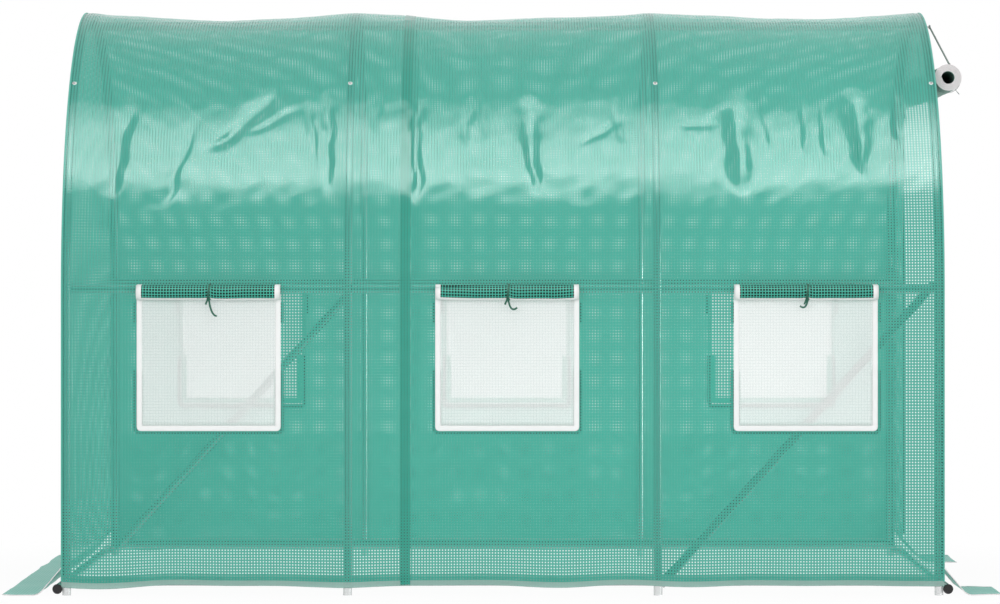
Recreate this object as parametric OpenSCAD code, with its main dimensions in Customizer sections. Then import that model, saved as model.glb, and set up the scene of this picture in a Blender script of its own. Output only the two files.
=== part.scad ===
/* [Hoops] */
// Distance between the axes of the two legs of a hoop
hoop_w = 1970; // [1600:5:2400]
// Height of the straight legs, where the arch begins
leg_h = 1030; // [850:5:1300]
// Outside diameter of the hoop tubes
hoop_d = 30; // [24:1:38]
// Wall thickness of every tube
tube_wall = 1; // [0.8:0.1:1.6]
// Angle above the start of the arch where a side arc meets the crown arc
crown_angle = 48; // [40:1:60]
// Length of a narrowed tube end or sleeve inside its neighbour
spigot_l = 45; // [30:1:70]
// Length of the thickened neck behind a narrowed tube end
neck_l = 8; // [5:1:15]
// Length of each end bay, between hoop axes
end_bay = 957; // [800:1:1150]
// Length of the middle bay, between hoop axes
mid_bay = 1058; // [900:1:1250]

/* [Rails and braces] */
// Outside diameter of the rails and braces
rail_d = 30; // [24:1:36]
// Height of the rails along the foot of the long sides
bottom_rail_z = 45; // [40:1:90]
// Height of the waist rails above the start of the arch
waist_rail_rise = 16; // [-60:1:60]
// Height of the rails across the two ends
end_rail_z = 22; // [19:1:32]
// Distance from a hoop axis to the axis of a brace end, along the rail
brace_inset = 24; // [18:1:60]
// Length of a brace past the axis of the rail it is bolted to
brace_overrun = 20; // [10:1:30]
// Thickness of the flange of an end cap
cap_t = 4; // [2:0.5:8]
// Overhang of an end cap round its tube
cap_lip = 2; // [0.5:0.5:3]
// Depth of the plug of an end cap in its tube
cap_plug_l = 15; // [8:1:30]

/* [Cover] */
// Thickness of the cover sheets
sheet_t = 2; // [1:0.1:3]
// Height of the lower edge of the long walls
hem_z = 28; // [15:1:60]
// Height where an end sheet turns outwards into its ground skirt
skirt_top_z = 95; // [70:1:150]
// Angle of the sloping part of a skirt from the vertical
skirt_slope = 40; // [30:1:55]
// Radius of the bend where a skirt meets the ground
skirt_bend_r = 45; // [30:1:60]
// Reach of the skirts beyond the end sheets
skirt_reach = 205; // [170:1:300]
// Distance of the flap folded up against the back wall below the window borders
flap_drop = 86; // [40:1:200]

/* [Door] */
// Width of the doorway
door_w = 1240; // [900:10:1400]
// Distance of the top of the doorway below the axis of the hoops' crown
door_drop = 315; // [285:5:435]
// Height of the rolled door's axis above the doorway
door_roll_rise = 75; // [65:1:95]
// Outside diameter of the rolled door
door_roll_d = 93; // [80:1:105]
// Number of turns in the rolled door
door_roll_turns = 8; // [6:1:9]
// Diameter of the door tie cord
tie_d = 5; // [3:0.5:8]
// Distance of the ties from the middle of the doorway, at the roll
tie_roll_y = 560; // [400:5:600]
// Distance of the ties from the middle of the doorway, at their buttons
tie_button_y = 250; // [100:5:350]
// Distance of the tie buttons inside the edge of the arch
tie_button_drop = 32; // [20:1:60]
// Diameter of the tie buttons
tie_button_d = 16; // [12:1:24]
// Thickness of a tie button on each side of its cord
tie_button_lip = 1; // [0.5:0.5:3]
// Diameter of the toggle that joins a tie to its sling
tie_toggle_d = 9; // [7:0.5:14]
// Width of the sling strap round the roll
sling_w = 10; // [6:1:20]
// Thickness of the sling strap
sling_t = 1.5; // [1:0.1:3]

/* [Windows] */
// Number of windows in each long wall
window_count = 3; // [1:1:3]
// Outside width of a window's border
window_w = 490; // [400:5:600]
// Outside height of a window's border
window_h = 475; // [380:1:490]
// Distance between window centres
window_pitch = 1016; // [900:1:1100]
// Offset of the window row along the tunnel
window_shift = 15; // [-30:1:30]
// Height of the top edge of the window borders above the start of the arch
window_rise = 5; // [-20:1:8]
// Width of the border tape round a window
border_w = 18; // [12:1:30]
// Thickness of the border tape
border_t = 1.5; // [1:0.1:3]
// Outer corner radius of a window's border
border_r = 14; // [8:1:18]
// Diameter of a rolled window flap
window_roll_d = 52; // [44:1:58]
// Number of turns in a rolled window flap
window_roll_turns = 4; // [3:1:4]
// Distance of the rolled flaps' axes below the top edge of the borders
window_roll_drop = 2; // [1:1:10]

/* [Fits] */
// Gap between pieces that lie against each other
fit_gap = 0.3; // [0.1:0.05:0.5]
// Extra radial room between two turns of a rolled sheet
roll_slack = 1; // [0.4:0.1:1.2]

/* [Hidden] */
tube_fn = 48;
arch_fn = 360;
$fn = tube_fn;
cut = 1;
arch_r = hoop_w / 2;
hoop_r = hoop_d / 2;
rail_r = rail_d / 2;
hoop_bore = hoop_d - 2 * tube_wall;
rail_bore = rail_d - 2 * tube_wall;
spigot_d = hoop_bore - 2 * fit_gap;
spigot_bore = spigot_d - 2 * tube_wall;
spigot_a = spigot_l / arch_r * 180 / PI;
neck_a = neck_l / arch_r * 180 / PI;
outer_hoop_x = mid_bay / 2 + end_bay;
hoop_x = [-outer_hoop_x, -mid_bay / 2, mid_bay / 2, outer_hoop_x];
frame_x = outer_hoop_x + hoop_r;
frame_y = arch_r + hoop_r;
rail_in = arch_r - hoop_r - rail_r - fit_gap;
waist_rail_z = leg_h + waist_rail_rise;
waist_rail_y = waist_rail_rise > 0 ? sqrt(rail_in ^ 2 - waist_rail_rise ^ 2) : rail_in;
brace_y = min(rail_in, waist_rail_y) - rail_d - fit_gap;
end_rail_x = frame_x + fit_gap + rail_r;
cover_in = frame_y + fit_gap;
cover_out = cover_in + sheet_t;
cover_x = frame_x + fit_gap;
end_out_x = cover_x + sheet_t;
door_top = leg_h + arch_r - door_drop;
roof_step = 30;
window_top = leg_h + window_rise;
window_bottom = window_top - window_h;
flap_top = window_bottom - flap_drop;
window_x = [for (i = [0 : window_count - 1]) window_shift + (i - (window_count - 1) / 2) * window_pitch];
turn_pitch = sheet_t + roll_slack;
turn_steps = 24;

// Repeats on the front, -Y, what is drawn on the back, +Y
module on_side(s) {
    mirror([0, s < 0 ? 1 : 0, 0]) children();
}

// Stands a drawing of (Y, Z) upright, so that its own Z runs along X
module across() {
    rotate([90, 0, 90]) children();
}

module tube(length, outer) {
    difference() {
        cylinder(d = outer, h = length);
        translate([0, 0, -cut]) cylinder(d = outer - 2 * tube_wall, h = length + 2 * cut);
    }
}

module tube_along_x(from_x, to_x, y, z) {
    translate([from_x, y, z]) rotate([0, 90, 0]) tube(to_x - from_x, rail_d);
}

// Bent round bar about the arch centre, from angle a0 to a1, where 0 points to +Y and 90 up
module bent_bar(a0, a1, outer) {
    translate([0, 0, leg_h]) across() rotate([0, 0, a0])
        rotate_extrude(angle = a1 - a0, $fn = arch_fn) translate([arch_r, 0]) circle(d = outer, $fn = tube_fn);
}

module bent_tube(a0, a1, outer, bore) {
    translate([0, 0, leg_h]) across() rotate([0, 0, a0]) rotate_extrude(angle = a1 - a0, $fn = arch_fn)
        translate([arch_r, 0]) difference() {
            circle(d = outer, $fn = tube_fn);
            circle(d = bore, $fn = tube_fn);
        }
}

// Straight round bar from point p to point q
module bar_between(p, q, outer) {
    way = q - p;
    translate(p) rotate([0, acos(way[2] / norm(way)), atan2(way[1], way[0])])
        cylinder(d = outer, h = norm(way));
}

module hoop_legs(x) {
    color("silver") for (s = [-1, 1])
        translate([x, s * arch_r, 0]) tube(leg_h, hoop_d);
}

// The lower end is narrowed and slips straight down into the leg
module hoop_side_arcs(x) {
    color("silver") translate([x, 0, 0]) for (s = [-1, 1]) on_side(s) {
        bent_tube(0, crown_angle, hoop_d, hoop_bore);
        difference() {
            union() {
                bent_bar(0, neck_a, hoop_d - tube_wall);
                translate([0, arch_r, leg_h - spigot_l]) cylinder(d = spigot_d, h = spigot_l + cut);
            }
            bent_bar(0, 2 * neck_a, spigot_bore);
            translate([0, arch_r, leg_h - spigot_l - cut]) cylinder(d = spigot_bore, h = spigot_l + cut);
        }
    }
}

module hoop_crown(x) {
    color("silver") translate([x, 0, 0]) bent_tube(crown_angle, 180 - crown_angle, hoop_d, hoop_bore);
}

// Bent sleeves inside the joints between the side arcs and the crowns
module crown_sleeves() {
    color("silver") for (x = hoop_x, s = [-1, 1]) translate([x, 0, 0]) on_side(s)
        bent_tube(crown_angle - spigot_a, crown_angle + spigot_a, spigot_d, spigot_bore);
}

module ridge_rail() {
    color("silver") tube_along_x(-frame_x, frame_x, 0, leg_h + rail_in);
}

module waist_rail(s) {
    color("silver") tube_along_x(-frame_x, frame_x, s * waist_rail_y, waist_rail_z);
}

module bottom_rail(s) {
    color("silver") tube_along_x(-frame_x, frame_x, s * rail_in, bottom_rail_z);
}

module end_rail(s) {
    color("silver") translate([s * end_rail_x, -frame_y, end_rail_z]) rotate([-90, 0, 0])
        tube(2 * frame_y, rail_d);
}

// Domed plastic cap with a plug, closing a tube end that faces +Z
module end_cap() {
    cap_r = rail_r + cap_lip;
    plug_r = rail_bore / 2 - fit_gap;
    translate([0, 0, -cap_plug_l]) cylinder(r = plug_r, h = cap_plug_l + cap_t / 2);
    cylinder(r1 = cap_r, r2 = cap_r - cap_lip, h = cap_t);
}

module rail_end_caps() {
    color("dimgray") for (sx = [-1, 1], sy = [-1, 1]) on_side(sy)
        translate([sx * end_rail_x, frame_y, end_rail_z]) rotate([-90, 0, 0]) end_cap();
}

// Slanting tube on the inner side of the rails, rising towards +X across one end bay
module brace(side, low_x, high_x) {
    low = [low_x, side * brace_y, bottom_rail_z];
    high = [high_x, side * brace_y, waist_rail_z];
    way = (high - low) / norm(high - low);
    start = low - brace_overrun * way;
    end = high + brace_overrun * way;
    color("silver") difference() {
        bar_between(start, end, rail_d);
        bar_between(start - cut * way, end + cut * way, rail_bore);
    }
}

// One long wall of the cover, with its window openings
module wall_sheet(s) {
    open_w = window_w - 2 * border_w;
    open_h = window_h - 2 * border_w;
    color("mediumseagreen", 0.6) on_side(s) difference() {
        translate([-cover_x, cover_in, hem_z]) cube([2 * cover_x, sheet_t, leg_h - hem_z]);
        for (x = window_x)
            translate([x - open_w / 2, cover_in - cut, window_bottom + border_w])
                cube([open_w, sheet_t + 2 * cut, open_h]);
    }
}

// Arched strip number n of the cover, counted from the back eave over the ridge
module arch_sheet(n) {
    color("mediumseagreen", 0.6) translate([-cover_x, 0, leg_h]) across() rotate([0, 0, n * roof_step])
        rotate_extrude(angle = roof_step, $fn = arch_fn)
            translate([cover_in, 0]) square([sheet_t, 2 * cover_x]);
}

// Outline of an end sheet in (Y, Z), down to the top of the ground skirt
module end_outline() {
    intersection() {
        union() {
            translate([0, leg_h]) circle(r = cover_out, $fn = arch_fn);
            translate([-cover_out, 0]) square([2 * cover_out, leg_h]);
        }
        translate([-2 * cover_out, skirt_top_z]) square([4 * cover_out, leg_h + 2 * cover_out]);
    }
}

module end_sheet(s) {
    color("mediumseagreen", 0.6) translate([s > 0 ? cover_x : -end_out_x, 0, 0]) across()
        linear_extrude(sheet_t) children();
}

module left_end_sheet() {
    end_sheet(-1) end_outline();
}

module right_end_jamb(s) {
    on_side(s) end_sheet(1) intersection() {
        end_outline();
        translate([door_w / 2, 0]) square([cover_out, leg_h + 2 * cover_out]);
    }
}

module right_end_header_sheet() {
    end_sheet(1) intersection() {
        end_outline();
        translate([-door_w / 2, door_top]) square([door_w, 2 * cover_out]);
    }
}

function direction(path, i) =
    let (way = path[min(i + 1, len(path) - 1)] - path[max(i - 1, 0)]) way / norm(way);
function beside(path, i, d) =
    let (way = direction(path, i)) path[i] + d * [-way[1], way[0]];

// Outline of a sheet of thickness t that follows a path
module ribbon(path, t) {
    last = len(path) - 1;
    polygon(concat(
        [for (i = [0 : last]) beside(path, i, t / 2)],
        [for (i = [last : -1 : 0]) beside(path, i, -t / 2)]));
}

// Skirt section in (X outwards, Z): slope off the end sheet, bend, then flat on the ground
function skirt_path() =
    let (
        turn = 90 - skirt_slope,
        low = sheet_t / 2,
        bend_z = low + skirt_bend_r * (1 - cos(turn)),
        bend_x = sheet_t / 2 + (skirt_top_z - bend_z) * tan(skirt_slope)
    )
    concat(
        [[sheet_t / 2, skirt_top_z]],
        [for (a = [turn : -turn / 8 : -0.001])
            [bend_x + skirt_bend_r * (sin(turn) - sin(a)), low + skirt_bend_r * (1 - cos(a))]],
        [[sheet_t + skirt_reach, low]]);

// Skirt between two places along Y, at the +X end
module skirt(from_y, to_y) {
    translate([cover_x, to_y, 0]) rotate([90, 0, 0]) linear_extrude(to_y - from_y)
        intersection() {
            ribbon(skirt_path(), sheet_t);
            square([2 * skirt_reach, skirt_top_z]);
        }
}

module left_skirt() {
    color("lightseagreen", 0.6) mirror([1, 0, 0]) skirt(-cover_out, cover_out);
}

module right_skirts() {
    color("lightseagreen", 0.6) for (s = [-1, 1]) on_side(s) skirt(door_w / 2, cover_out);
}

// Rolled sheet in (outwards from the wall, along the wall): a tail down the wall, then a spiral
function roll_path(outer_d, turns) =
    let (
        outer = outer_d / 2 - sheet_t / 2,
        steps = turns * turn_steps,
        centre = outer_d / 2
    )
    concat(
        [[sheet_t / 2, outer_d / 2]],
        [for (i = [0 : steps])
            let (a = 180 + 360 * i / turn_steps, r = outer - turns * turn_pitch * i / steps)
            [centre + r * cos(a), r * sin(a)]]);

// The door is rolled up outwards, so its tail rises from the doorway's top edge
module door_roll() {
    color("seagreen") translate([end_out_x + fit_gap, door_w / 2, door_top + door_roll_rise])
        rotate([90, 0, 0]) linear_extrude(door_w) mirror([0, 1])
            ribbon(concat([[sheet_t / 2, door_roll_rise]], roll_path(door_roll_d, door_roll_turns)), sheet_t);
}

// Strap sling round the roll, with a taut cord from its toggle up to a button under the arch
module door_ties() {
    sling_low = -120;
    sling_high = 100;
    sling_r = door_roll_d / 2 + fit_gap;
    toggle_r = sling_r + tie_toggle_d / 2 + sling_t / 4;
    toggle_l = sling_w + tie_d;
    roll_x = end_out_x + fit_gap + door_roll_d / 2;
    roll_z = door_top + door_roll_rise;
    button_t = tie_d + 2 * tie_button_lip;
    button_z = leg_h + sqrt(cover_out ^ 2 - tie_button_y ^ 2) - tie_button_drop;
    button = [end_out_x + button_t / 2, tie_button_y, button_z];
    toggle = [roll_x + toggle_r * cos(sling_high), tie_roll_y, roll_z + toggle_r * sin(sling_high)];
    color("darkgreen") for (s = [-1, 1]) on_side(s) {
        translate([roll_x, tie_roll_y, roll_z]) rotate([90, 0, 0]) rotate([0, 0, sling_low])
            rotate_extrude(angle = sling_high - sling_low)
                translate([sling_r, -sling_w / 2]) square([sling_t, sling_w]);
        translate(toggle) rotate([90, 0, 0]) cylinder(d = tie_toggle_d, h = toggle_l, center = true);
        bar_between(toggle, button, tie_d);
        translate([end_out_x, tie_button_y, button_z]) rotate([0, 90, 0])
            cylinder(d = tie_button_d, h = button_t);
    }
}

// Ground flap of the back wall, folded up against its outer face
module back_flap() {
    color("seagreen", 0.6) translate([-cover_x, cover_out, hem_z])
        cube([2 * cover_x, sheet_t, flap_top - hem_z]);
}

// Places one child at every window, seen from the back wall, and its mirror image in the front wall
module at_windows() {
    for (s = [-1, 1], x = window_x) on_side(s) translate([x, 0, 0]) children();
}

module window_screens() {
    screen_w = window_w - 2 * border_w - 2 * fit_gap;
    screen_h = window_h - 2 * border_w - 2 * fit_gap;
    color("whitesmoke", 0.5) at_windows()
        translate([-screen_w / 2, cover_in, window_bottom + border_w + fit_gap])
            cube([screen_w, sheet_t, screen_h]);
}

// Rounded rectangle centred on X, standing on Y = 0
module rounded(w, h, r) {
    translate([r - w / 2, 0]) square([w - 2 * r, h]);
    translate([-w / 2, r]) square([w, h - 2 * r]);
    for (sx = [-1, 1], y = [r, h - r])
        translate([sx * (w / 2 - r), y]) circle(r = r);
}

// White tape sewn on the outside of the wall round each window
module window_borders() {
    color("white") at_windows()
        translate([0, cover_out + border_t, window_bottom]) rotate([90, 0, 0]) linear_extrude(border_t)
            difference() {
                rounded(window_w, window_h, border_r);
                translate([border_w - window_w / 2, border_w])
                    square([window_w - 2 * border_w, window_h - 2 * border_w]);
            }
}

// The flaps are rolled up outwards over the top of their borders
module window_rolls() {
    color("seagreen") at_windows()
        translate([-window_w / 2, cover_out + border_t + fit_gap, window_top - window_roll_drop])
            across() linear_extrude(window_w) ribbon(roll_path(window_roll_d, window_roll_turns), sheet_t);
}

hoop_legs(hoop_x[0]);  // hoop_1_legs
hoop_side_arcs(hoop_x[0]);  // hoop_1_side_arcs
hoop_crown(hoop_x[0]);  // hoop_1_crown
hoop_legs(hoop_x[1]);  // hoop_2_legs
hoop_side_arcs(hoop_x[1]);  // hoop_2_side_arcs
hoop_crown(hoop_x[1]);  // hoop_2_crown
hoop_legs(hoop_x[2]);  // hoop_3_legs
hoop_side_arcs(hoop_x[2]);  // hoop_3_side_arcs
hoop_crown(hoop_x[2]);  // hoop_3_crown
hoop_legs(hoop_x[3]);  // hoop_4_legs
hoop_side_arcs(hoop_x[3]);  // hoop_4_side_arcs
hoop_crown(hoop_x[3]);  // hoop_4_crown
crown_sleeves();
ridge_rail();
waist_rail(-1);  // front_waist_rail
waist_rail(1);  // back_waist_rail
bottom_rail(-1);  // front_bottom_rail
bottom_rail(1);  // back_bottom_rail
end_rail(-1);  // left_end_rail
end_rail(1);  // right_end_rail
rail_end_caps();
brace(-1, hoop_x[2] + brace_inset, hoop_x[3] - brace_inset);  // front_brace
brace(1, hoop_x[0] + brace_inset, hoop_x[1] - brace_inset);  // back_brace
wall_sheet(-1);  // front_wall_sheet
wall_sheet(1);  // back_wall_sheet
arch_sheet(5);  // front_eave_sheet
arch_sheet(4);  // front_roof_sheet
arch_sheet(3);  // front_crown_sheet
arch_sheet(2);  // back_crown_sheet
arch_sheet(1);  // back_roof_sheet
arch_sheet(0);  // back_eave_sheet
left_end_sheet();
left_skirt();
right_end_jamb(-1);  // right_end_front_sheet
right_end_jamb(1);  // right_end_back_sheet
right_end_header_sheet();
right_skirts();
door_roll();
door_ties();
back_flap();
window_screens();
window_borders();
window_rolls();
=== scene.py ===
import bpy
import math
import numpy as np
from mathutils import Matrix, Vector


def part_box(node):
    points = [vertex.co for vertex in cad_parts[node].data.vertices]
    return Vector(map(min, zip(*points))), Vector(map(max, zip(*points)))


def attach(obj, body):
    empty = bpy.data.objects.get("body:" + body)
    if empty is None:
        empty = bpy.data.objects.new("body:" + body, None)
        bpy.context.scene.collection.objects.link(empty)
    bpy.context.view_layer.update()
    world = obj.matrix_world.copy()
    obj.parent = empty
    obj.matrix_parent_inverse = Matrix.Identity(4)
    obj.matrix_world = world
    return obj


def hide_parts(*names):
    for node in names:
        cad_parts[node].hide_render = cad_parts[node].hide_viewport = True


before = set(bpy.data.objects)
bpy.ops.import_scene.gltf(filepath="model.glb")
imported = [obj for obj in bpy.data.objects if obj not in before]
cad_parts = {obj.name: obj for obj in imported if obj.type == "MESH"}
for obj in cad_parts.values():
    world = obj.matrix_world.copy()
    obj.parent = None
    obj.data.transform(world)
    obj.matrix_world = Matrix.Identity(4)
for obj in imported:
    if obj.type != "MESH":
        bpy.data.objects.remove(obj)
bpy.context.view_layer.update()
scene = bpy.context.scene
scene.view_settings.view_transform = "Standard"
tau = 2 * math.pi


def middle(node):
    # half way between the corners of a node's box
    low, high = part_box(node)
    return (np.array(low) + np.array(high)) / 2


# the frame's own sizes, in metres
hoopX = np.array([middle(f"hoop_{n}_legs")[0] for n in (1, 2, 3, 4)])
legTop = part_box("hoop_1_legs")[1].z            # the arch begins here
coverR = -middle("front_wall_sheet")[1]        # radius of the cover's half circle
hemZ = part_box("front_wall_sheet")[0].z
endX = middle("right_end_header_sheet")[0]
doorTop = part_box("right_end_header_sheet")[0].z
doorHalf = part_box("right_end_header_sheet")[1].y
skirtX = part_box("right_skirts")[1].x
windowX = np.array([-1.001, 0.015, 1.031])     # middles of the three windows of a wall
wallH = legTop - hemZ
coverL = 2 * wallH + math.pi * coverR          # along the section, from hem to hem
print("frame loaded,", len(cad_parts), "nodes")


class Wire:
    # one socket of a shader; sums and products of wires add Math nodes
    def __init__(self, tree, socket=None):
        self.tree, self.socket = tree, socket

    def add(self, kind, sets=None, ins=None, out=0):
        node = self.tree.nodes.new("ShaderNode" + kind)
        for key, value in (sets or {}).items():
            setattr(node, key, value)
        for key, value in (ins or {}).items():
            if isinstance(value, Wire):
                self.tree.links.new(value.socket, node.inputs[key])
            else:
                node.inputs[key].default_value = value
        return Wire(self.tree, node.outputs[out])

    def other(self, out):
        # another output of the same node
        return Wire(self.tree, self.socket.node.outputs[out])

    def math(self, operation, *others):
        return self.add("Math", {"operation": operation}, dict(enumerate((self, *others))))

    def __add__(self, other):
        return self.math("ADD", other)

    def __sub__(self, other):
        return self.math("SUBTRACT", other)

    def __rsub__(self, other):
        return self.add("Math", {"operation": "SUBTRACT"}, {0: other, 1: self})

    def __mul__(self, other):
        return self.math("MULTIPLY", other)

    def __truediv__(self, other):
        return self.math("DIVIDE", other)

    def __pow__(self, other):
        return self.math("POWER", other)

    __radd__, __rmul__ = __add__, __mul__

    def clamp(self):
        return self.add("Clamp", {}, {0: self})

    def blend(self, low, high):
        # colour low where the wire is 0, high where it is 1
        return self.add("Mix", {"data_type": "RGBA"}, {0: self, 6: low, 7: high}, 2)

    def shade(self, first, second):
        return self.add("MixShader", {}, {0: self, 1: first, 2: second})


def newMaterial(name):
    made = bpy.data.materials.new(name)
    made.use_nodes = True
    made.node_tree.nodes.clear()
    return made, Wire(made.node_tree)


def finishMaterial(made, wire):
    out = made.node_tree.nodes.new("ShaderNodeOutputMaterial")
    made.node_tree.links.new(wire.socket, out.inputs["Surface"])
    return made


def rgb(r, g, b):
    return (r, g, b, 1.0)


def noiseAt(wire, coords, scale, detail=3.0, rough=0.5):
    return wire.add("TexNoise", {}, {"Vector": coords, "Scale": scale, "Detail": detail, "Roughness": rough})


def bodyOf(wire, colour, rough, strength, height, more=None):
    # painted surface with a bump of the given strength; more holds its further sockets
    bump = wire.add("Bump", {}, {"Strength": strength, "Distance": 1.0, "Height": height})
    sockets = {"Base Color": colour, "Roughness": rough, "Normal": bump}
    return wire.add("BsdfPrincipled", {}, {**sockets, **(more or {})})


def glowOf(wire, colour):
    # light that comes through a sheet from behind
    return wire.add("BsdfTranslucent", {}, {"Color": colour})


def uvParts(wire):
    # the flattened sheet's coordinates in metres, whole and as u and v
    coords = wire.add("UVMap", {"uv_map": "flat"})
    u = wire.add("SeparateXYZ", {}, {0: coords})
    return coords, u, u.other(1)


def objectCoords(wire):
    return wire.add("TexCoord", {}, {}, "Object")


def weaveMask(u, v, pitch, gap, soft):
    # distance from the middle of each cell, as a rounded square: 1 in the clear gap, 0 on the threads
    du = ((u / pitch).math("FRACT") - 0.5).math("ABSOLUTE")
    dv = ((v / pitch).math("FRACT") - 0.5).math("ABSOLUTE")
    half, fade = gap / 2 / pitch, soft / pitch
    away = (du ** 4 + dv ** 4) ** 0.25
    hole = ((half - away) / fade + 0.5).clamp()
    crossing = ((du.math("MINIMUM", dv) - half) / fade + 0.5).clamp()
    return hole, crossing


def wovenTint(u, v, cloudy, look):
    # threads that darken where they cross and in soft clouds
    hole, crossing = weaveMask(u, v, *look["weave"])
    mixed = (crossing * look["crossTint"] + cloudy * look["cloudTint"]).clamp()
    return hole, mixed.blend(look["thread"], look["threadDeep"])


coverLook = {
    "weave": (0.010, 0.0044, 0.0007),          # pitch, gap and soft edge of the gap
    "thread": rgb(0.064, 0.418, 0.330), "threadDeep": rgb(0.047, 0.342, 0.267),
    "film": rgb(0.110, 0.390, 0.320),
    # inner face: share and pale colour of its painted light
    "inner": 0.22, "innerPaintedLight": rgb(0.450, 0.880, 0.780), "clear": rgb(0.79, 0.94, 0.915),
    "glow": rgb(0.020, 0.500, 0.385), "glowFilm": rgb(0.250, 0.720, 0.620), "through": 0.12,
    "gapCover": 0.12, "threadCover": 0.95, "ior": 1.5, "rough": 0.10, "cloudRough": 0.06,
    "cloudSize": 3.0, "crossTint": 0.55, "cloudTint": 0.35,
    "crinkle": 0.12, "crumpleSize": 11.0, "crumpleHigh": 0.006, "fineSize": 240.0, "fineHigh": 0.0002,
    "gapDeep": 0.00012,
    "hems": 0.0, "hemHigh": 0.020, "hemEdge": 700, "hemFilm": rgb(0.400, 0.570, 0.520), "hemCover": 0.72,
}


def greenCover(name, look):
    # woven green threads between two clear films: see-through in the gaps, glossy all over
    made, wire = newMaterial(name)
    coords, u, v = uvParts(wire)
    cloudy = noiseAt(wire, coords, look["cloudSize"])
    hole, tint = wovenTint(u, v, cloudy, look)
    colour = hole.blend(tint, look["film"])
    # the inner face of the sheet is painted a paler green: painted light that stands for light shining
    # through the far wall from behind
    inside = wire.add("NewGeometry", {}, {}, "Backfacing") * look["inner"]
    colour = inside.blend(colour, look["innerPaintedLight"])
    cover = hole * (look["gapCover"] - look["threadCover"]) + look["threadCover"]
    if look["hems"]:
        # plain doubled film along the two hems, with no weave in it
        band = ((look["hemHigh"] - v.math("MINIMUM", look["hems"] - v)) * look["hemEdge"]).clamp()
        colour = band.blend(colour, look["hemFilm"])
        cover = cover * (1 - band) + band * look["hemCover"]
    crumple = noiseAt(wire, coords, look["crumpleSize"], detail=4.0, rough=0.55)
    fine = noiseAt(wire, coords, look["fineSize"], detail=2.0)
    height = crumple * look["crumpleHigh"] + fine * look["fineHigh"] - hole * look["gapDeep"]
    rough = look["rough"] + cloudy * look["cloudRough"]
    body = bodyOf(wire, colour, rough, look["crinkle"], height, {"IOR": look["ior"]})
    glow = hole.shade(glowOf(wire, look["glow"]), glowOf(wire, look["glowFilm"]))
    lit = wire.add("MixShader", {}, {0: look["through"], 1: body, 2: glow})
    return finishMaterial(made, cover.shade(wire.add("BsdfTransparent", {}, {"Color": look["clear"]}), lit))


rollLook = {
    "weave": (0.010, 0.0070, 0.0006),
    "thread": rgb(0.070, 0.440, 0.335), "threadDeep": rgb(0.046, 0.330, 0.250),
    "gapShade": rgb(0.0004, 0.003, 0.002),
    "cloudSize": 14.0, "crossTint": 0.5, "cloudTint": 0.4, "rough": 0.46, "cloudRough": 0.12,
    "crinkle": 0.25, "cloudHigh": 0.003, "gapDeep": 0.0003, "ior": 1.38, "gloss": 0.25,
    "tape": rgb(0.84, 0.85, 0.84), "tapeFrom": 0.226, "tapeEdge": 900, "tapeRough": 0.30,
    "hemFrom": 0.062, "hemTo": 0.085,
}


def rolledCover(name, look, taped):
    # many layers of the cover: the gaps are painted near black as painted shade of the roll's inside, and
    # white tape binds the sides
    made, wire = newMaterial(name)
    coords, u, v = uvParts(wire)
    cloudy = noiseAt(wire, coords, look["cloudSize"])
    hole, tint = wovenTint(u, v, cloudy, look)
    colour = hole.blend(tint, look["gapShade"])
    rough = look["rough"] + cloudy * look["cloudRough"]
    if taped:
        edge = look["tapeEdge"]
        ends = ((u.math("ABSOLUTE") - look["tapeFrom"]) * edge).clamp()
        foot = ((v - look["hemFrom"]) * edge).clamp() * ((look["hemTo"] - v) * edge).clamp()
        bound = ends.math("MAXIMUM", foot)
        colour = bound.blend(colour, look["tape"])
        rough = rough + bound * look["tapeRough"]
    height = cloudy * look["cloudHigh"] - hole * look["gapDeep"]
    more = {"IOR": look["ior"], "Specular IOR Level": look["gloss"]}
    return finishMaterial(made, bodyOf(wire, colour, rough, look["crinkle"], height, more))


tapeLook = {
    # stitches: length of a repeat, half of a stitch as a share of it, and the rows' distance from the middle
    "stitch": 0.0052, "stitchHalf": 0.36, "stitchEdge": -14,
    "middle": 0.009, "row": 0.0062, "rowHalf": 0.0006, "rowEdge": -2500,
    "cloudSize": 30.0, "cloudTint": 0.5, "ribTint": 0.15, "stitchTint": 0.5,
    "bump": 0.5, "ribHigh": 0.0002, "stitchHigh": 0.0005, "cloudHigh": 0.0004,
}


def plainTape(name, base, deep, ribs, rough=0.6):
    # ribbed woven tape with a row of stitches along each edge
    made, wire = newMaterial(name)
    coords, u, v = uvParts(wire)
    look = tapeLook
    rib = (u * (tau / ribs)).math("SINE") * 0.5 + 0.5
    cloudy = noiseAt(wire, coords, look["cloudSize"], detail=4.0)
    along = ((u / look["stitch"]).math("FRACT") - 0.5).math("ABSOLUTE")
    across = ((v - look["middle"]).math("ABSOLUTE") - look["row"]).math("ABSOLUTE")
    dash = ((along - look["stitchHalf"]) * look["stitchEdge"]).clamp()
    stitch = dash * ((across - look["rowHalf"]) * look["rowEdge"]).clamp()
    mixed = cloudy * look["cloudTint"] + rib * look["ribTint"] + stitch * look["stitchTint"]
    height = rib * look["ribHigh"] + stitch * look["stitchHigh"] + cloudy * look["cloudHigh"]
    return finishMaterial(made, bodyOf(wire, mixed.clamp().blend(base, deep), rough, look["bump"], height))


screenLook = {
    "net": (0.0022, 0.00125, 0.0003), "cell": (0.010, 0.0078, 0.0012),      # pitch, gap and soft edge
    "white": rgb(0.95, 0.95, 0.945), "shade": rgb(0.91, 0.915, 0.91), "cellLine": rgb(0.83, 0.85, 0.845),
    "cloudSize": 9.0, "crossTint": 0.15, "cloudTint": 0.25, "rough": 0.7, "bump": 0.4, "threadHigh": 0.0003,
    "through": 0.25, "open": 0.62,
}


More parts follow.
